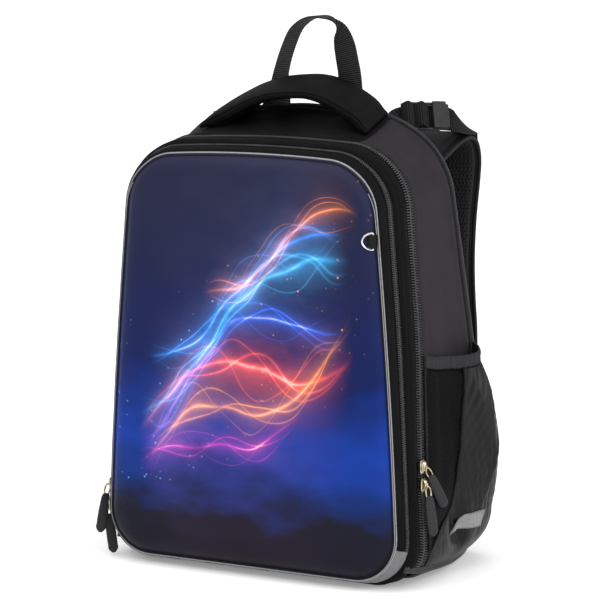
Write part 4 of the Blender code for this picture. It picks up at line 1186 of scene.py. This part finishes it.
# Side pocket: depth, swell, height of the hem's foot; then the swell's share up the height.
POCKET = np.array([
    (0.0470, 0.0000, 0.2010), (0.0620, 0.0060, 0.1980), (0.0790, 0.0052, 0.1960), (0.0940, 0.0050, 0.1945),
    (0.1070, 0.0140, 0.1935), (0.1200, 0.0250, 0.1938), (0.1330, 0.0288, 0.1945), (0.1460, 0.0222, 0.1975),
    (0.1590, 0.0020, 0.2000),
])
POCKET_ROWS = (0.0, 0.09, 0.20, 0.34, 0.50, 0.64, 0.78, 0.91, 1.0)
POCKET_FULL = (0.02, 0.20, 0.38, 0.62, 0.80, 0.89, 0.92, 0.78, 0.52)
# Seam between netting and satin: share of the height and depth.
POCKET_SEAM = np.array([
    (0.000, 0.0470), (0.094, 0.0490), (0.214, 0.0636), (0.301, 0.0796), (0.425, 0.0919), (0.579, 0.0981),
    (0.789, 0.1023), (0.916, 0.1076), (1.000, 0.1125),
])
HEM_HEIGHT = 0.0115


def pocket_surface(depth, share, off=0.0):
    """Point of the left pocket's cloth: the wall stood off by swell(depth) * full(share)."""
    swell = np.maximum(hermite(depth, POCKET[:, 0], POCKET[:, 1]), 0.0)
    top = hermite(depth, POCKET[:, 0], POCKET[:, 2]) - HEM_HEIGHT
    low = np.interp(depth, BASE_LINE[:, 0], BASE_LINE[:, 1]) + 0.0014
    z = low + (top - low) * share
    full = np.clip(hermite(share, POCKET_ROWS, POCKET_FULL), 0, 1.2)
    return wall_point(depth, z, swell * full + off)


def pocket_seam(share):
    """Depth of the seam between netting and satin at a share of the height."""
    return np.maximum(np.interp(share, POCKET_SEAM[:, 0], POCKET_SEAM[:, 1]), POCKET[0, 0])


def satin_off(depth, share):
    """Stand-off of the satin: gathers that open downward from the hem as cosines of the depth,
    slanting folds, and slack creases towards the low corner."""
    drop = 1 - share
    gather = 0.0017 * np.exp(-drop / 0.20) * np.cos((depth + 0.10 * drop) * math.tau / 0.0074)
    gather *= 0.6 + 0.4 * ripple(depth * 6, share * 0.2, 31, 0.12)
    fold = 0.0019 * ripple(depth * 1.9 + share * 0.050, share * 0.075 - depth * 0.4, 32, 0.050)
    small = 0.00035 * ripple(depth * 2.2, share * 0.16, 33, 0.013)
    sharp = 0.0011 * np.exp(-(((depth - 0.130 - 0.045 * (share - 0.45)) / 0.0035) ** 2)) * smooth_step(share, 0.1, 0.4)
    return 0.0023 + gather + (fold + small + sharp) * smooth_step(share, 0.02, 0.14) * (1 - 0.8 * smooth_step(share, 0.62, 0.95))


def make_pockets():
    first, last = POCKET[0, 0], POCKET[-1, 0]
    share = np.linspace(0.0, 1.0, 120)
    column = np.linspace(0.0, 1.0, 104)
    start = np.maximum(pocket_seam(share), first)[:, None]
    depth = start + (last - start) * column[None, :]
    rim = smooth_step(depth - start, 0.0, 0.006) * (1 - smooth_step(depth, last - 0.004, last))
    off = satin_off(depth, share[:, None]) * rim + 0.0018 * (1 - rim)
    face = pocket_surface(depth, share[:, None], off)
    satin = Shape()
    satin.cloth(face, pocket_surface(depth, share[:, None], off - 0.0009))
    pieces = [satin.piece("pocket_satin_left", FINISH["satin"], "black_satin", ("pocket_cloth_left",), weld=1e-6)]
    pieces.append(satin.mirror().piece("pocket_satin_right", FINISH["satin"], "black_satin", ("pocket_cloth_right",), weld=1e-6))
    make_netting(first)
    trims = Shape()
    low = 0.088
    line = np.linspace(low, 1.0, 90)
    path = pocket_surface(pocket_seam(line), line, 0.0030)
    out = np.broadcast_to(np.array([1.0, 0.0, 0.0]), path.shape)
    tube(trims, path, box_section(0.0028, 0.0012, 0.0005, 3), np.cross(tangents(path), out))
    stitches(trims, path + np.array([0.0006, 0.0, 0.0]), out)
    edge = np.linspace(0.0, 1.0, 90)
    rear = pocket_surface(np.full(90, last - 0.0008), edge, 0.0022)
    tube(trims, rear, box_section(0.0060, 0.0018, 0.0006, 3), np.cross(tangents(rear), out))
    front = pocket_surface(np.full(60, first + 0.0012), np.linspace(low, 1.0, 60), 0.0018)
    tube(trims, front, box_section(0.0046, 0.0014, 0.0005, 3), np.cross(tangents(front), np.broadcast_to(np.array([1.0, 0, 0]), front.shape)))
    trims.piece("pocket_binding_left", FINISH["trim"], "black_trim")
    trims.mirror().piece("pocket_binding_right", FINISH["trim"], "black_trim")
    make_hem(first, last)
    make_flag()


def make_netting(first):
    """Netting in front of the satin: staggered oval meshes, each a thread loop of real thickness
    round an open eye, in front of a dark sheet of painted shade that darkens the eyes."""
    rows, cols = 96, 60
    share = np.linspace(0.085, 1.0, rows)[:, None]
    column = np.linspace(0.0, 1.0, cols)[None, :]
    end = pocket_seam(share[:, 0])[:, None] - 0.0002

    def at(column, share, off):
        last = pocket_seam(share) - 0.0002
        depth = first + (last - first) * column
        valley = 0.0060 * np.exp(-(((column - 0.46) / 0.17) ** 2)) * smooth_step(share, 0.20, 0.5)
        swag = 0.0008 * ripple(column * 0.05, share * 0.17, 41, 0.05)
        return pocket_surface(depth, share, off + swag - valley * (swell_room(depth, share)))

    # A near-black sheet just behind the thread loops: painted shade seen through the eyes.
    back = Shape()
    back.grid(at(np.broadcast_to(column, (rows, cols)), np.broadcast_to(share, (rows, cols)), 0.0016))
    back.piece("pocket_shade_sheet_left", FINISH["net_shade"], "black_netting", ("pocket_netting_left",))
    back.mirror().piece("pocket_shade_sheet_right", FINISH["net_shade"], "black_netting", ("pocket_netting_right",))
    pitch_w, pitch_h = 0.0034, 0.0021
    height = POCKET[4, 2] - HEM_HEIGHT - BASE_LINE[3, 1]
    lines = np.arange(0.100, 0.992, pitch_h / height)
    cells = []
    for number, line in enumerate(lines):
        wide = float(pocket_seam(np.array([line]))[0] - first)
        many = int(wide / pitch_w)
        if many < 1:
            continue
        shift = 0.5 if number % 2 else 0.0
        spot = (np.arange(many) + 0.25 + shift) / (wide / pitch_w)
        spot = spot[(spot > 0.5 * pitch_w / wide) & (spot < 1 - 0.4 * pitch_w / wide)]
        cells.append(np.stack([spot, np.full(len(spot), line), np.full(len(spot), pitch_w * 0.5 / wide)], -1))
    cells = np.concatenate(cells)
    a = np.arange(8) * math.tau / 8 + math.pi / 8
    grow = pitch_h / height
    rings = []
    for reach, rise in ((1.02, 0.0018), (0.86, 0.0026), (0.60, 0.0025), (0.50, 0.0016)):
        u = cells[:, :1] + cells[:, 2:] * reach * np.sign(np.cos(a)) * np.abs(np.cos(a)) ** 0.8
        v = cells[:, 1:2] + grow * 1.0 * reach * np.sign(np.sin(a)) * np.abs(np.sin(a)) ** 0.8
        rings.append(at(np.clip(u, 0, 1), np.clip(v, 0, 1), rise))
    points = np.concatenate(rings, axis=1)
    faces = []
    for ring in range(3):
        for k in range(8):
            n = (k + 1) % 8
            faces.append((ring * 8 + k, ring * 8 + n, ring * 8 + 8 + n, ring * 8 + 8 + k))
    net = Shape().many(points, faces)
    made = [net.piece("pocket_netting_weave_left", FINISH["net"], "black_netting")]
    made.append(net.mirror().piece("pocket_netting_weave_right", FINISH["net"], "black_netting"))


def swell_room(depth, share):
    """How far the pocket stands from the wall here, from 0 to 1, so that a valley stays outside it."""
    swell = np.maximum(hermite(depth, POCKET[:, 0], POCKET[:, 1]), 0.0)
    full = np.clip(hermite(share, POCKET_ROWS, POCKET_FULL), 0, 1.2)
    return np.clip(swell * full / 0.0075, 0.0, 1.0)


def make_hem(first, last):
    """Elastic hem: two folds of tape with cross ribs, drawn into scallops by the elastic."""
    depth = np.linspace(first + 0.0004, last - 0.0002, 420)
    foot = pocket_surface(depth, np.ones(420), 0.0)
    foot[:, 2] += 0.0004
    scallop = 0.0004 * np.cos(depth * math.tau / 0.0071) + 0.00018 * np.cos(depth * math.tau / 0.0018)
    profile = ((0.0014, 0.0000), (0.0026, 0.0000), (0.0034, 0.0008), (0.0036, 0.0024), (0.0031, 0.0040), (0.0036, 0.0056),
               (0.0037, 0.0078), (0.0034, 0.0098), (0.0028, 0.0110), (0.0018, 0.0113), (0.0013, 0.0104), (0.0012, 0.0012))
    rows = []
    for out, up in profile:
        stand = out + scallop * (1.0 if out > 0.002 else 0.0)
        rows.append(foot + np.stack([stand, np.zeros(420), np.full(420, up)], -1))
    points = np.stack(rows, axis=1)
    hem = Shape()
    hem.grid(points, round_i=True, flip=True)
    hem.fan(points[0])
    hem.fan(points[-1], flip=True)
    for up in (0.0012, 0.0096):
        path = foot + np.array([0.0036, 0.0, up])
        stitches(hem, path, np.broadcast_to(np.array([1.0, 0, 0]), path.shape), 0.0028, 0.0021)
    hem.piece("pocket_elastic_left", FINISH["elastic"], "black_trim", ("pocket_hem_left",))
    hem.mirror().piece("pocket_elastic_right", FINISH["elastic"], "black_trim", ("pocket_hem_right",))


# Share and depth of the patch's lower and upper edges, from front to rear.
FLAG_LOW = np.array([(0.147, 0.0737), (0.158, 0.0842), (0.168, 0.0862), (0.151, 0.1225)])
FLAG_HIGH = np.array([(0.241, 0.0989), (0.244, 0.1253)])


def make_flag():
    """Reflective patch sewn low on the satin, with a stitched edge."""
    along = np.linspace(0.0, 1.0, 44)
    up = np.linspace(0.0, 1.0, 16)[:, None]
    low = np.stack([np.interp(along, (0, 0.24, 0.27, 1), FLAG_LOW[:, k]) for k in range(2)], -1)
    high = np.stack([np.interp(along, (0, 1), FLAG_HIGH[:, k]) for k in range(2)], -1)
    spot = low[None] + (high - low)[None] * up[..., None]
    rows, depth = spot[..., 0], spot[..., 1]
    off = np.maximum(satin_off(depth, rows), 0.0023) + 0.0006
    bend = 0.0003 * ripple(depth * 2.0, rows * 0.17, 52, 0.016)
    edge = np.ones_like(off)
    edge[[0, -1], :] = 0.0
    edge[:, [0, -1]] = 0.0
    face = pocket_surface(depth, rows, off + 0.0009 * edge + bend)
    flag = Shape()
    flag.cloth(face, pocket_surface(depth, rows, off + bend - 0.0002))
    loop = np.concatenate([face[1, 1:-1], face[1:-1, -2], face[-2, -2:0:-1], face[-2:0:-1, 1]])
    flag.piece("pocket_flag_left", FINISH["flag"], "reflective_grey", ("pocket_patch_left",))
    flag.mirror().piece("pocket_flag_right", FINISH["flag"], "reflective_grey", ("pocket_patch_right",))
    row = Shape()
    stitches(row, loop, np.broadcast_to(np.array([1.0, 0.0, 0.1]), loop.shape), 0.0026, 0.0018, 0.00022, loop=True)
    row.piece("pocket_flag_stitches_left", FINISH["thread"], "black_trim")
    row.mirror().piece("pocket_flag_stitches_right", FINISH["thread"], "black_trim")


STRAP_LINE = (
    (0.0840, 0.1300, 0.3500, 0.070), (0.0840, 0.1500, 0.3570, 0.070), (0.0840, 0.1780, 0.3670, 0.070),
    (0.0840, 0.2020, 0.3722, 0.070), (0.0840, 0.2180, 0.3668, 0.070), (0.0840, 0.2240, 0.3530, 0.070),
    (0.0845, 0.2210, 0.3350, 0.070), (0.0850, 0.2120, 0.3000, 0.070), (0.0860, 0.2060, 0.2650, 0.070),
    (0.0880, 0.2040, 0.2300, 0.069), (0.0905, 0.2040, 0.1950, 0.068), (0.0930, 0.2020, 0.1600, 0.064),
    (0.0950, 0.1960, 0.1300, 0.056), (0.0970, 0.1900, 0.1060, 0.040),
)
STRAP_BINDING = 0.0026


def make_straps():
    """Padded straps: a puffed cover on the outer side, quilted by two rows, spacer netting with real
    dimples on the inner side, and a folded binding round the edge."""
    rows = catmull(STRAP_LINE, 150)
    centre, width = rows[:, :3], rows[:, 3]
    along = tangents(centre)
    across = unit(np.array([1.0, 0.0, 0.0]) - along * along[:, :1])
    out = np.cross(along, across)
    half = (width - 4 * STRAP_BINDING + 0.0012) / 2
    u = np.linspace(-1, 1, 56)
    edge = (1 - np.abs(u) ** 5) ** 0.55
    quilt = 0.0013 * (np.exp(-(((u - 0.80) / 0.045) ** 2)) + np.exp(-(((u + 0.80) / 0.045) ** 2)))
    thick = 0.0062 * edge - quilt + 0.0003
    face = centre[:, None] + across[:, None] * (u[None, :] * half[:, None])[..., None] - out[:, None] * thick[None, :, None]
    back = centre[:, None] + across[:, None] * (u[None, :] * half[:, None])[..., None] - out[:, None] * 0.0002
    ring = np.concatenate([face, back[:, ::-1]], axis=1)
    pad = Shape()
    pad.grid(ring, round_i=True)
    pad.fan(ring[0], flip=True)
    pad.fan(ring[-1])
    held = np.tile(np.concatenate([np.abs(np.abs(u) - 0.80) < 0.03, np.ones(56, bool)]) | np.concatenate([np.abs(u) > 0.97, np.ones(56, bool)]), 150)
    made = pad.piece("strap_cover_left", FINISH["pad"], "padded_cloth", ("strap_pad_left",))
    other = pad.mirror().piece("strap_cover_right", FINISH["pad"], "padded_cloth", ("strap_pad_right",))
    extra = len(made.data.vertices) - len(held)
    held = np.concatenate([held, np.ones(max(extra, 0), bool)])[: len(made.data.vertices)]
    puff(made, held, 4.0, 0.0016)
    points = vertices_of(made) * np.array([-1.0, 1.0, 1.0])
    other.data.vertices.foreach_set("co", points.ravel())
    other.data.update()
    rows_in = catmull(STRAP_LINE, 430)
    centre2, width2 = rows_in[:, :3], rows_in[:, 3]
    along2 = tangents(centre2)
    across2 = unit(np.array([1.0, 0.0, 0.0]) - along2 * along2[:, :1])
    out2 = np.cross(along2, across2)
    half2 = (width2 - 4 * STRAP_BINDING + 0.0012) / 2
    length = np.concatenate([[0], np.cumsum(np.linalg.norm(np.diff(centre2, axis=0), axis=1))])
    w = np.linspace(-1, 1, 84)
    flat = w[None, :] * half2[:, None]
    a, b = flat / 0.0036, length[:, None] / 0.0034
    dimple = np.cos(math.tau * a) * np.cos(math.pi * b) + 0.25 * np.cos(math.tau * b)
    height = 0.0024 - 0.0008 * smooth_step(dimple, 0.30, 0.95)
    rim = 1 - np.abs(w[None, :]) ** 14
    inner = centre2[:, None] + across2[:, None] * flat[..., None] + out2[:, None] * (height * rim + 0.0003)[..., None]
    lining = Shape()
    lining.grid(inner, flip=True)
    lining.grid(centre2[:, None] + across2[:, None] * flat[..., None] + out2[:, None] * 0.0002)
    lining.piece("strap_lining_netting_left", FINISH["spacer"], "black_netting", ("strap_lining_left",))
    lining.mirror().piece("strap_lining_netting_right", FINISH["spacer"], "black_netting", ("strap_lining_right",))
    ends = width / 2 - STRAP_BINDING
    shift = out * 0.0018
    right_edge, left_edge = centre + across * ends[:, None] - shift, centre - across * ends[:, None] - shift
    drop = along[-1] * (STRAP_BINDING + 0.0046)
    turn = []
    for angle in np.linspace(0, math.pi, 16)[1:-1]:
        turn.append(centre[-1] + across[-1] * ends[-1] * math.cos(angle) + drop * math.sin(angle) - shift[-1])
    path = catmull(np.concatenate([right_edge, np.array(turn), left_edge[::-1]]), 320)
    toward = np.interp(np.linspace(0, 1, 320), [0, 0.5, 1], [0, 0.5, 1])
    normals = np.concatenate([out, np.repeat(out[-1:], len(turn), axis=0), out[::-1]])
    pick = np.interp(toward, np.linspace(0, 1, len(normals)), np.arange(len(normals)))
    normal = unit(np.stack([np.interp(pick, np.arange(len(normals)), normals[:, k]) for k in range(3)], -1))
    a = np.arange(28) * math.tau / 28
    groove = 1 - 0.45 * np.exp(-(((np.abs((a + 0.0) % math.pi - math.pi / 2)) / 0.30) ** 2))
    section = np.stack([0.0046 * np.sign(np.cos(a)) * np.abs(np.cos(a)) ** 0.8, 0.0024 * np.sign(np.sin(a)) * np.abs(np.sin(a)) ** 0.7 * groove], -1)
    side = np.cross(normal, tangents(path))
    side[:] = unit(np.cross(tangents(path), normal))
    binding = Shape()
    tube(binding, path, section * np.array([0.62, 1.0]), side)
    stitches(binding, path - normal * 0.0025 + side * 0.0012, -normal, 0.0030)
    stitches(binding, path + normal * 0.0025 + side * 0.0012, normal, 0.0030)
    binding.piece("strap_edge_left", FINISH["trim"], "black_trim", ("strap_binding_left",))
    binding.mirror().piece("strap_edge_right", FINISH["trim"], "black_trim", ("strap_binding_right",))


LIFTER_RUN = (
    (0.0850, 0.1215, 0.3780, 0.50, -0.35, -0.79), (0.0835, 0.1240, 0.3850, 0.50, -0.35, -0.79),
    (0.0832, 0.1350, 0.3935, 0.42, -0.40, -0.81), (0.0940, 0.1433, 0.3950, 0.36, -0.47, -0.81),
    (0.1050, 0.1515, 0.3950, 0.36, -0.47, -0.81), (0.1160, 0.1598, 0.3938, 0.40, -0.45, -0.79),
    (0.1215, 0.1710, 0.3905, 0.55, -0.34, -0.76), (0.1190, 0.1880, 0.3868, 0.76, -0.18, -0.62),
    (0.1125, 0.2050, 0.3822, 0.95, -0.04, -0.31), (0.1065, 0.2170, 0.3762, 1.0, 0.0, 0.0),
    (0.1030, 0.2270, 0.3655, 1.0, 0.0, 0.0),
)
# The other side's upper webbing lies flat behind the handle.
LIFTER_FLAT = (
    (0.0940, 0.1215, 0.3780, 0.97, 0.0, -0.22), (0.0945, 0.1240, 0.3835, 0.97, 0.0, -0.22),
    (0.0950, 0.1350, 0.3880, 0.97, 0.0, -0.22), (0.0960, 0.1450, 0.3890, 0.97, 0.0, -0.22),
    (0.0975, 0.1560, 0.3885, 0.97, 0.0, -0.22), (0.0990, 0.1670, 0.3870, 0.97, 0.0, -0.22),
    (0.0995, 0.1780, 0.3850, 0.98, 0.0, -0.18), (0.1000, 0.1920, 0.3832, 1.0, 0.0, -0.10),
    (0.1000, 0.2050, 0.3812, 1.0, 0.0, 0.0), (0.0995, 0.2170, 0.3765, 1.0, 0.0, 0.0),
    (0.0985, 0.2270, 0.3670, 1.0, 0.0, 0.0),
)
LOWER_RUN = (
    (0.0985, 0.1865, 0.0985, 1.0, 0.0, 0.0), (0.1010, 0.1830, 0.0800, 1.0, 0.0, 0.0),
    (0.1060, 0.1800, 0.0590, 0.98, 0.0, 0.15), (0.1130, 0.1755, 0.0400, 0.94, 0.0, 0.30),
    (0.1200, 0.1705, 0.0260, 0.88, 0.0, 0.45),
)


def bar(shape, start, end, side, wide, thick, corner):
    """A rounded straight bar from start to end, its width along side."""
    path = np.linspace(0, 1, 11)[:, None] * (end - start) + start
    tube(shape, path, box_section(wide, thick, corner, 4), np.broadcast_to(side, path.shape))


def make_lock(name, side, centre, across, along, out):
    """Moulded ladder lock seen from its face: side rails, two bars under the webbing's humps, a
    smooth end plate with a lip, and the webbing that rides over both bars as a cosine wave."""
    lock = Shape()

    def at(x, s, o):
        return centre + across * x + along * s + out * o

    for edge in (-1, 1):
        rail = at(edge * 0.0131, -0.0232, -0.0010), at(edge * 0.0131, 0.0060, -0.0010)
        bar(lock, *rail, across, 0.0026, 0.0026, 0.0011)
    for s in (-0.0215, -0.0095):
        bar(lock, at(-0.0130, s, 0.0002), at(0.0130, s, 0.0002), along, 0.0034, 0.0024, 0.0009)
    bar(lock, at(-0.0135, 0.0068, 0.0014), at(0.0135, 0.0068, 0.0014), along, 0.0128, 0.0042, 0.0019)
    bar(lock, at(-0.0115, 0.0138, 0.0004), at(0.0115, 0.0138, 0.0004), along, 0.0032, 0.0030, 0.0013)
    for s in (0.0036, 0.0068, 0.0100):
        bar(lock, at(-0.0105, s, 0.0034), at(0.0105, s, 0.0034), along, 0.0009, 0.0008, 0.0003)
    s = np.linspace(-0.0275, -0.0035, 70)
    lift = 0.0018 - 0.0026 * np.cos((s + 0.0275) / 0.0120 * math.tau)
    path = centre + along * s[:, None] + out * lift[:, None]
    wrap = Shape()
    webbing_run(wrap, path, np.broadcast_to(across, path.shape), thick=0.0017)
    if side == "right":
        lock, wrap = lock.mirror(), wrap.mirror()
    lock.piece(f"{name}_lock_{side}", FINISH["plastic"], "buckle_plastic", (f"{name}_buckle_{side}",), sharp=40)
    wrap.piece(f"{name}_wrap_{side}", FINISH["webbing"], "black_webbing")


def make_runs():
    """The webbing runs of both sides, each with its lock."""
    runs = (("lifter", "left", LIFTER_RUN, 4), ("lifter", "right", LIFTER_FLAT, 4),
            ("lower", "left", LOWER_RUN, 1), ("lower", "right", LOWER_RUN, 1))
    for name, side, table, spot in runs:
        line = np.array(table)
        rows = catmull(line, 130)
        strip = webbing_run(Shape(), rows[:, :3], rows[:, 3:6])
        if side == "right":
            strip = strip.mirror()
        strip.piece(f"{name}_strap_{side}", FINISH["webbing"], "black_webbing", (f"{name}_webbing_{side}",))
        centre = line[spot, :3]
        along = tangents(line[:, :3])[spot]
        across = unit(line[spot, 3:6] - along * np.dot(line[spot, 3:6], along))
        out = unit(np.cross(across, along))
        make_lock(name, side, centre + out * 0.0030, across, along, out)


MAIN_PULLS = ((0.0375, 0.1075, 31.0, 0.14), (0.0380, 0.0915, 6.0, 0.07))
FRONT_PULLS = ((0.0145, 0.0660, -12.0, 0.08), (0.0145, 0.0468, 0.0, -0.14))
PULL_ROWS = ((0.0, 0.0034), (0.006, 0.0034), (0.008, 0.0066), (0.014, 0.0080), (0.038, 0.0084), (0.042, 0.0062))


def slab(shape, path, side, width, thick, share=1.0):
    """A flat bar whose width changes along it, with rounded edges."""
    base = box_section(1.0, 1.0, 0.28, 4)
    section = np.stack([base[None, :, 0] * width[:, None], base[None, :, 1] * thick[:, None]], -1)
    tube(shape, path, section, np.broadcast_to(side, path.shape))


def make_pull(slider_name, pull_name, spot, face, swing, lift):
    """Slider with its bridge and a link, and the rubber pull hung from the link."""
    up, back, off = np.array([0, 0, 1.0]), np.array([0, 1.0, 0]), np.array([face, 0, 0.0])
    body = Shape()
    s = np.linspace(-1, 1, 15)
    path = spot + up * (s * 0.0056)[:, None] - off * 0.0022
    width = 0.0078 * (0.80 + 0.20 * np.sqrt(np.clip(1 - np.abs(s) ** 3, 0, 1))) * np.where(s < 0, 0.96, 1.0)
    slab(body, path, back, width, np.full(15, 0.0017))
    a = np.linspace(0, math.pi, 13)
    arch = spot + up * (0.0044 * np.cos(a))[:, None] + off * (0.0026 * np.sin(a) - 0.0016)[:, None]
    tube(body, arch, box_section(0.0034, 0.0011, 0.0004, 3), np.broadcast_to(unit(back + off * 0.6), arch.shape))
    turn = math.radians(swing)
    down = unit(np.array([0.0, math.sin(turn), -math.cos(turn)]) + off * lift)
    flat = np.array([0.0, math.cos(turn), math.sin(turn)])
    wide = unit(flat * 0.72 - unit(np.cross(flat, down)) * 0.69)
    start = spot + off * 0.0018 - up * 0.001
    ring = np.linspace(0, math.tau, 28, endpoint=False)
    link = start + down * (0.0058 + 0.0060 * np.cos(ring))[:, None] + wide * (0.0023 * np.sin(ring))[:, None] + off * 0.0004
    tube(body, link, disc(0.00080, 8), np.broadcast_to(off, link.shape), loop=True)
    body.piece(f"{slider_name}_body", FINISH["brass"], "antique_brass", (slider_name,), sharp=45)
    rows = np.array(PULL_ROWS)
    s = np.linspace(0.0085, 0.0445, 44)
    width = hermite(s, [0.0085, 0.0105, 0.014, 0.020, 0.036, 0.0415, 0.0445], [0.0044, 0.0066, 0.0080, 0.0086, 0.0088, 0.0080, 0.0030])
    thick = hermite(s, [0.0085, 0.0105, 0.015, 0.032, 0.0415, 0.0445], [0.0020, 0.0026, 0.0029, 0.0030, 0.0028, 0.0012])
    path = start + down * s[:, None] + off * 0.0006
    tag = Shape()
    slab(tag, path, wide, width, thick)
    for step in np.linspace(0.0185, 0.0375, 9):
        for side in (-1, 1):
            centre = start + down * step + off * (0.0006 + side * 0.00150)
            bar = centre + wide * np.linspace(-0.0028, 0.0028, 7)[:, None]
            tube(tag, bar, box_section(0.0011, 0.0006, 0.00025, 2), np.broadcast_to(down, bar.shape))
    tag.piece(f"{pull_name}_rubber", FINISH["rubber"], "pull_rubber", (pull_name,), sharp=50)


def make_pulls():
    for number, (depth, z, swing, lift) in enumerate(MAIN_PULLS, 1):
        spot = wall_point(depth, z, 0.0052)
        make_pull(f"main_slider_{number}", f"main_pull_{number}", spot, 1.0, swing, lift)
    for number, (depth, z, swing, lift) in enumerate(FRONT_PULLS, 1):
        spot = wall_point(depth, z, 0.0036) * np.array([-1.0, 1.0, 1.0])
        make_pull(f"front_slider_{number}", f"front_pull_{number}", spot, -1.0, swing, lift)


RING = {"x": 0.1230, "y": 0.0006, "z": 0.3030, "reach": 0.0086, "half": 0.0070, "wire": 0.0009, "lean": 0.38}


def make_ring():
    """Half ring of round wire with its straight bar in a folded tape tab that is sewn at its root."""
    middle = np.array([RING["x"], RING["y"], RING["z"]])
    a = np.linspace(math.pi / 2, math.pi * 1.5, 33)
    reach = RING["reach"] * np.cos(a)
    bow = middle + np.stack([reach, RING["lean"] * reach, RING["half"] * np.sin(a)], -1)
    bar = middle + np.linspace(-0.92, 0.92, 17)[:, None] * np.array([0, 0, RING["half"]])
    ring = Shape()
    path = np.concatenate([bow, bar])
    tube(ring, path, disc(RING["wire"], 14), np.broadcast_to(np.array([0.3, -1.0, 0.0]), path.shape), loop=True)
    ring.piece("d_ring_wire", FINISH["nickel"], "bright_nickel", ("d_ring",))
    tab = Shape()
    angle = np.linspace(math.pi * 0.5, math.pi * 1.5, 15)
    hold = 0.0018
    fold = np.stack([hold * np.cos(angle) - 0.0020, hold * np.sin(angle)], -1)
    top = np.stack([np.linspace(0.0034, -0.0017, 6), np.full(6, hold)], -1)
    low = np.stack([np.linspace(-0.0017, 0.0034, 6), np.full(6, -hold)], -1)
    line = np.concatenate([top, fold, low])
    path = middle + np.stack([line[:, 0], line[:, 1], np.zeros(len(line))], -1)
    tube(tab, path, box_section(0.0118, 0.0007, 0.0003, 2), np.broadcast_to(np.array([0, 0, 1.0]), path.shape))
    tab.piece("d_ring_tape", FINISH["trim"], "black_trim", ("d_ring_tab",))


def make_stage():
    """A pale floor and soft studio light: a bright surround with a broad high key from the left
    and a lower one over the right side."""
    floor = bpy.data.meshes.new("floor")
    size = 20.0
    floor.from_pydata([(-size, -size, 0), (size, -size, 0), (size, size, 0), (-size, size, 0)], [], [(0, 1, 2, 3)])
    paint = Wiring("pale_floor", (0.94, 0.94, 0.94), 0.9)
    paint.set("Specular IOR Level", 0.0)
    paint.set("Emission Color", (1.0, 1.0, 1.0, 1.0))
    paint.set("Emission Strength", 0.22)
    floor.materials.append(paint.material)
    ground = bpy.data.objects.new("floor", floor)
    SCENE.collection.objects.link(ground)
    world = bpy.data.worlds.new("studio")
    world.use_nodes = True
    world.node_tree.nodes["Background"].inputs[0].default_value = (1.0, 1.0, 1.0, 1.0)
    world.node_tree.nodes["Background"].inputs[1].default_value = 0.50
    SCENE.world = world
    suns = (
        ("overhead", (-0.25, -0.35, 2.0), 1.45, 60.0),
        ("side", (1.8, -0.5, 1.2), 0.85, 40.0),
    )
    for name, place, power, spread in suns:
        lamp = bpy.data.lights.new(name, "SUN")
        lamp.energy, lamp.angle = power, math.radians(spread)
        made = bpy.data.objects.new(name, lamp)
        made.location = place
        made.rotation_euler = (-Vector(place)).to_track_quat("-Z", "Y").to_euler()
        SCENE.collection.objects.link(made)
    lamps = (
        ("key", (-1.3, -1.9, 2.0), 1.2, 0.9, 9.0),
        ("fill", (2.0, -0.2, 1.0), 0.5, 1.5, 12.0),
    )
    for name, place, wide, high, power in lamps:
        lamp = bpy.data.lights.new(name, "AREA")
        lamp.shape = "RECTANGLE"
        lamp.size, lamp.size_y, lamp.energy = wide, high, power
        made = bpy.data.objects.new(name, lamp)
        made.location = place
        aim = Vector((0.0, 0.0, 0.2)) - Vector(place)
        made.rotation_euler = aim.to_track_quat("-Z", "Y").to_euler()
        SCENE.collection.objects.link(made)
    SCENE.view_settings.view_transform = "Standard"


def make_camera():
    """A long lens at the photograph's angle."""
    lens = bpy.data.cameras.new("camera")
    lens.sensor_width = 36.0
    lens.lens = 154.15
    made = bpy.data.objects.new("camera", lens)
    right = Vector((0.87812, 0.47835, -0.009215))
    up = Vector((-0.064681, 0.137777, 0.988349))
    back = right.cross(up)
    turn = Matrix((right, up, back)).transposed().to_4x4()
    made.matrix_world = Matrix.Translation(Vector((1.093595, -1.903643, 0.582536)) + Vector(SHIFT)) @ turn
    SCENE.collection.objects.link(made)
    SCENE.camera = made


def main():
    make_camera()
    make_stage()
    make_front()
    make_gusset()
    make_shell()
    make_board()
    make_back()
    make_handle()
    make_loop()
    make_pockets()
    make_straps()
    make_runs()
    make_pulls()
    make_ring()


main()
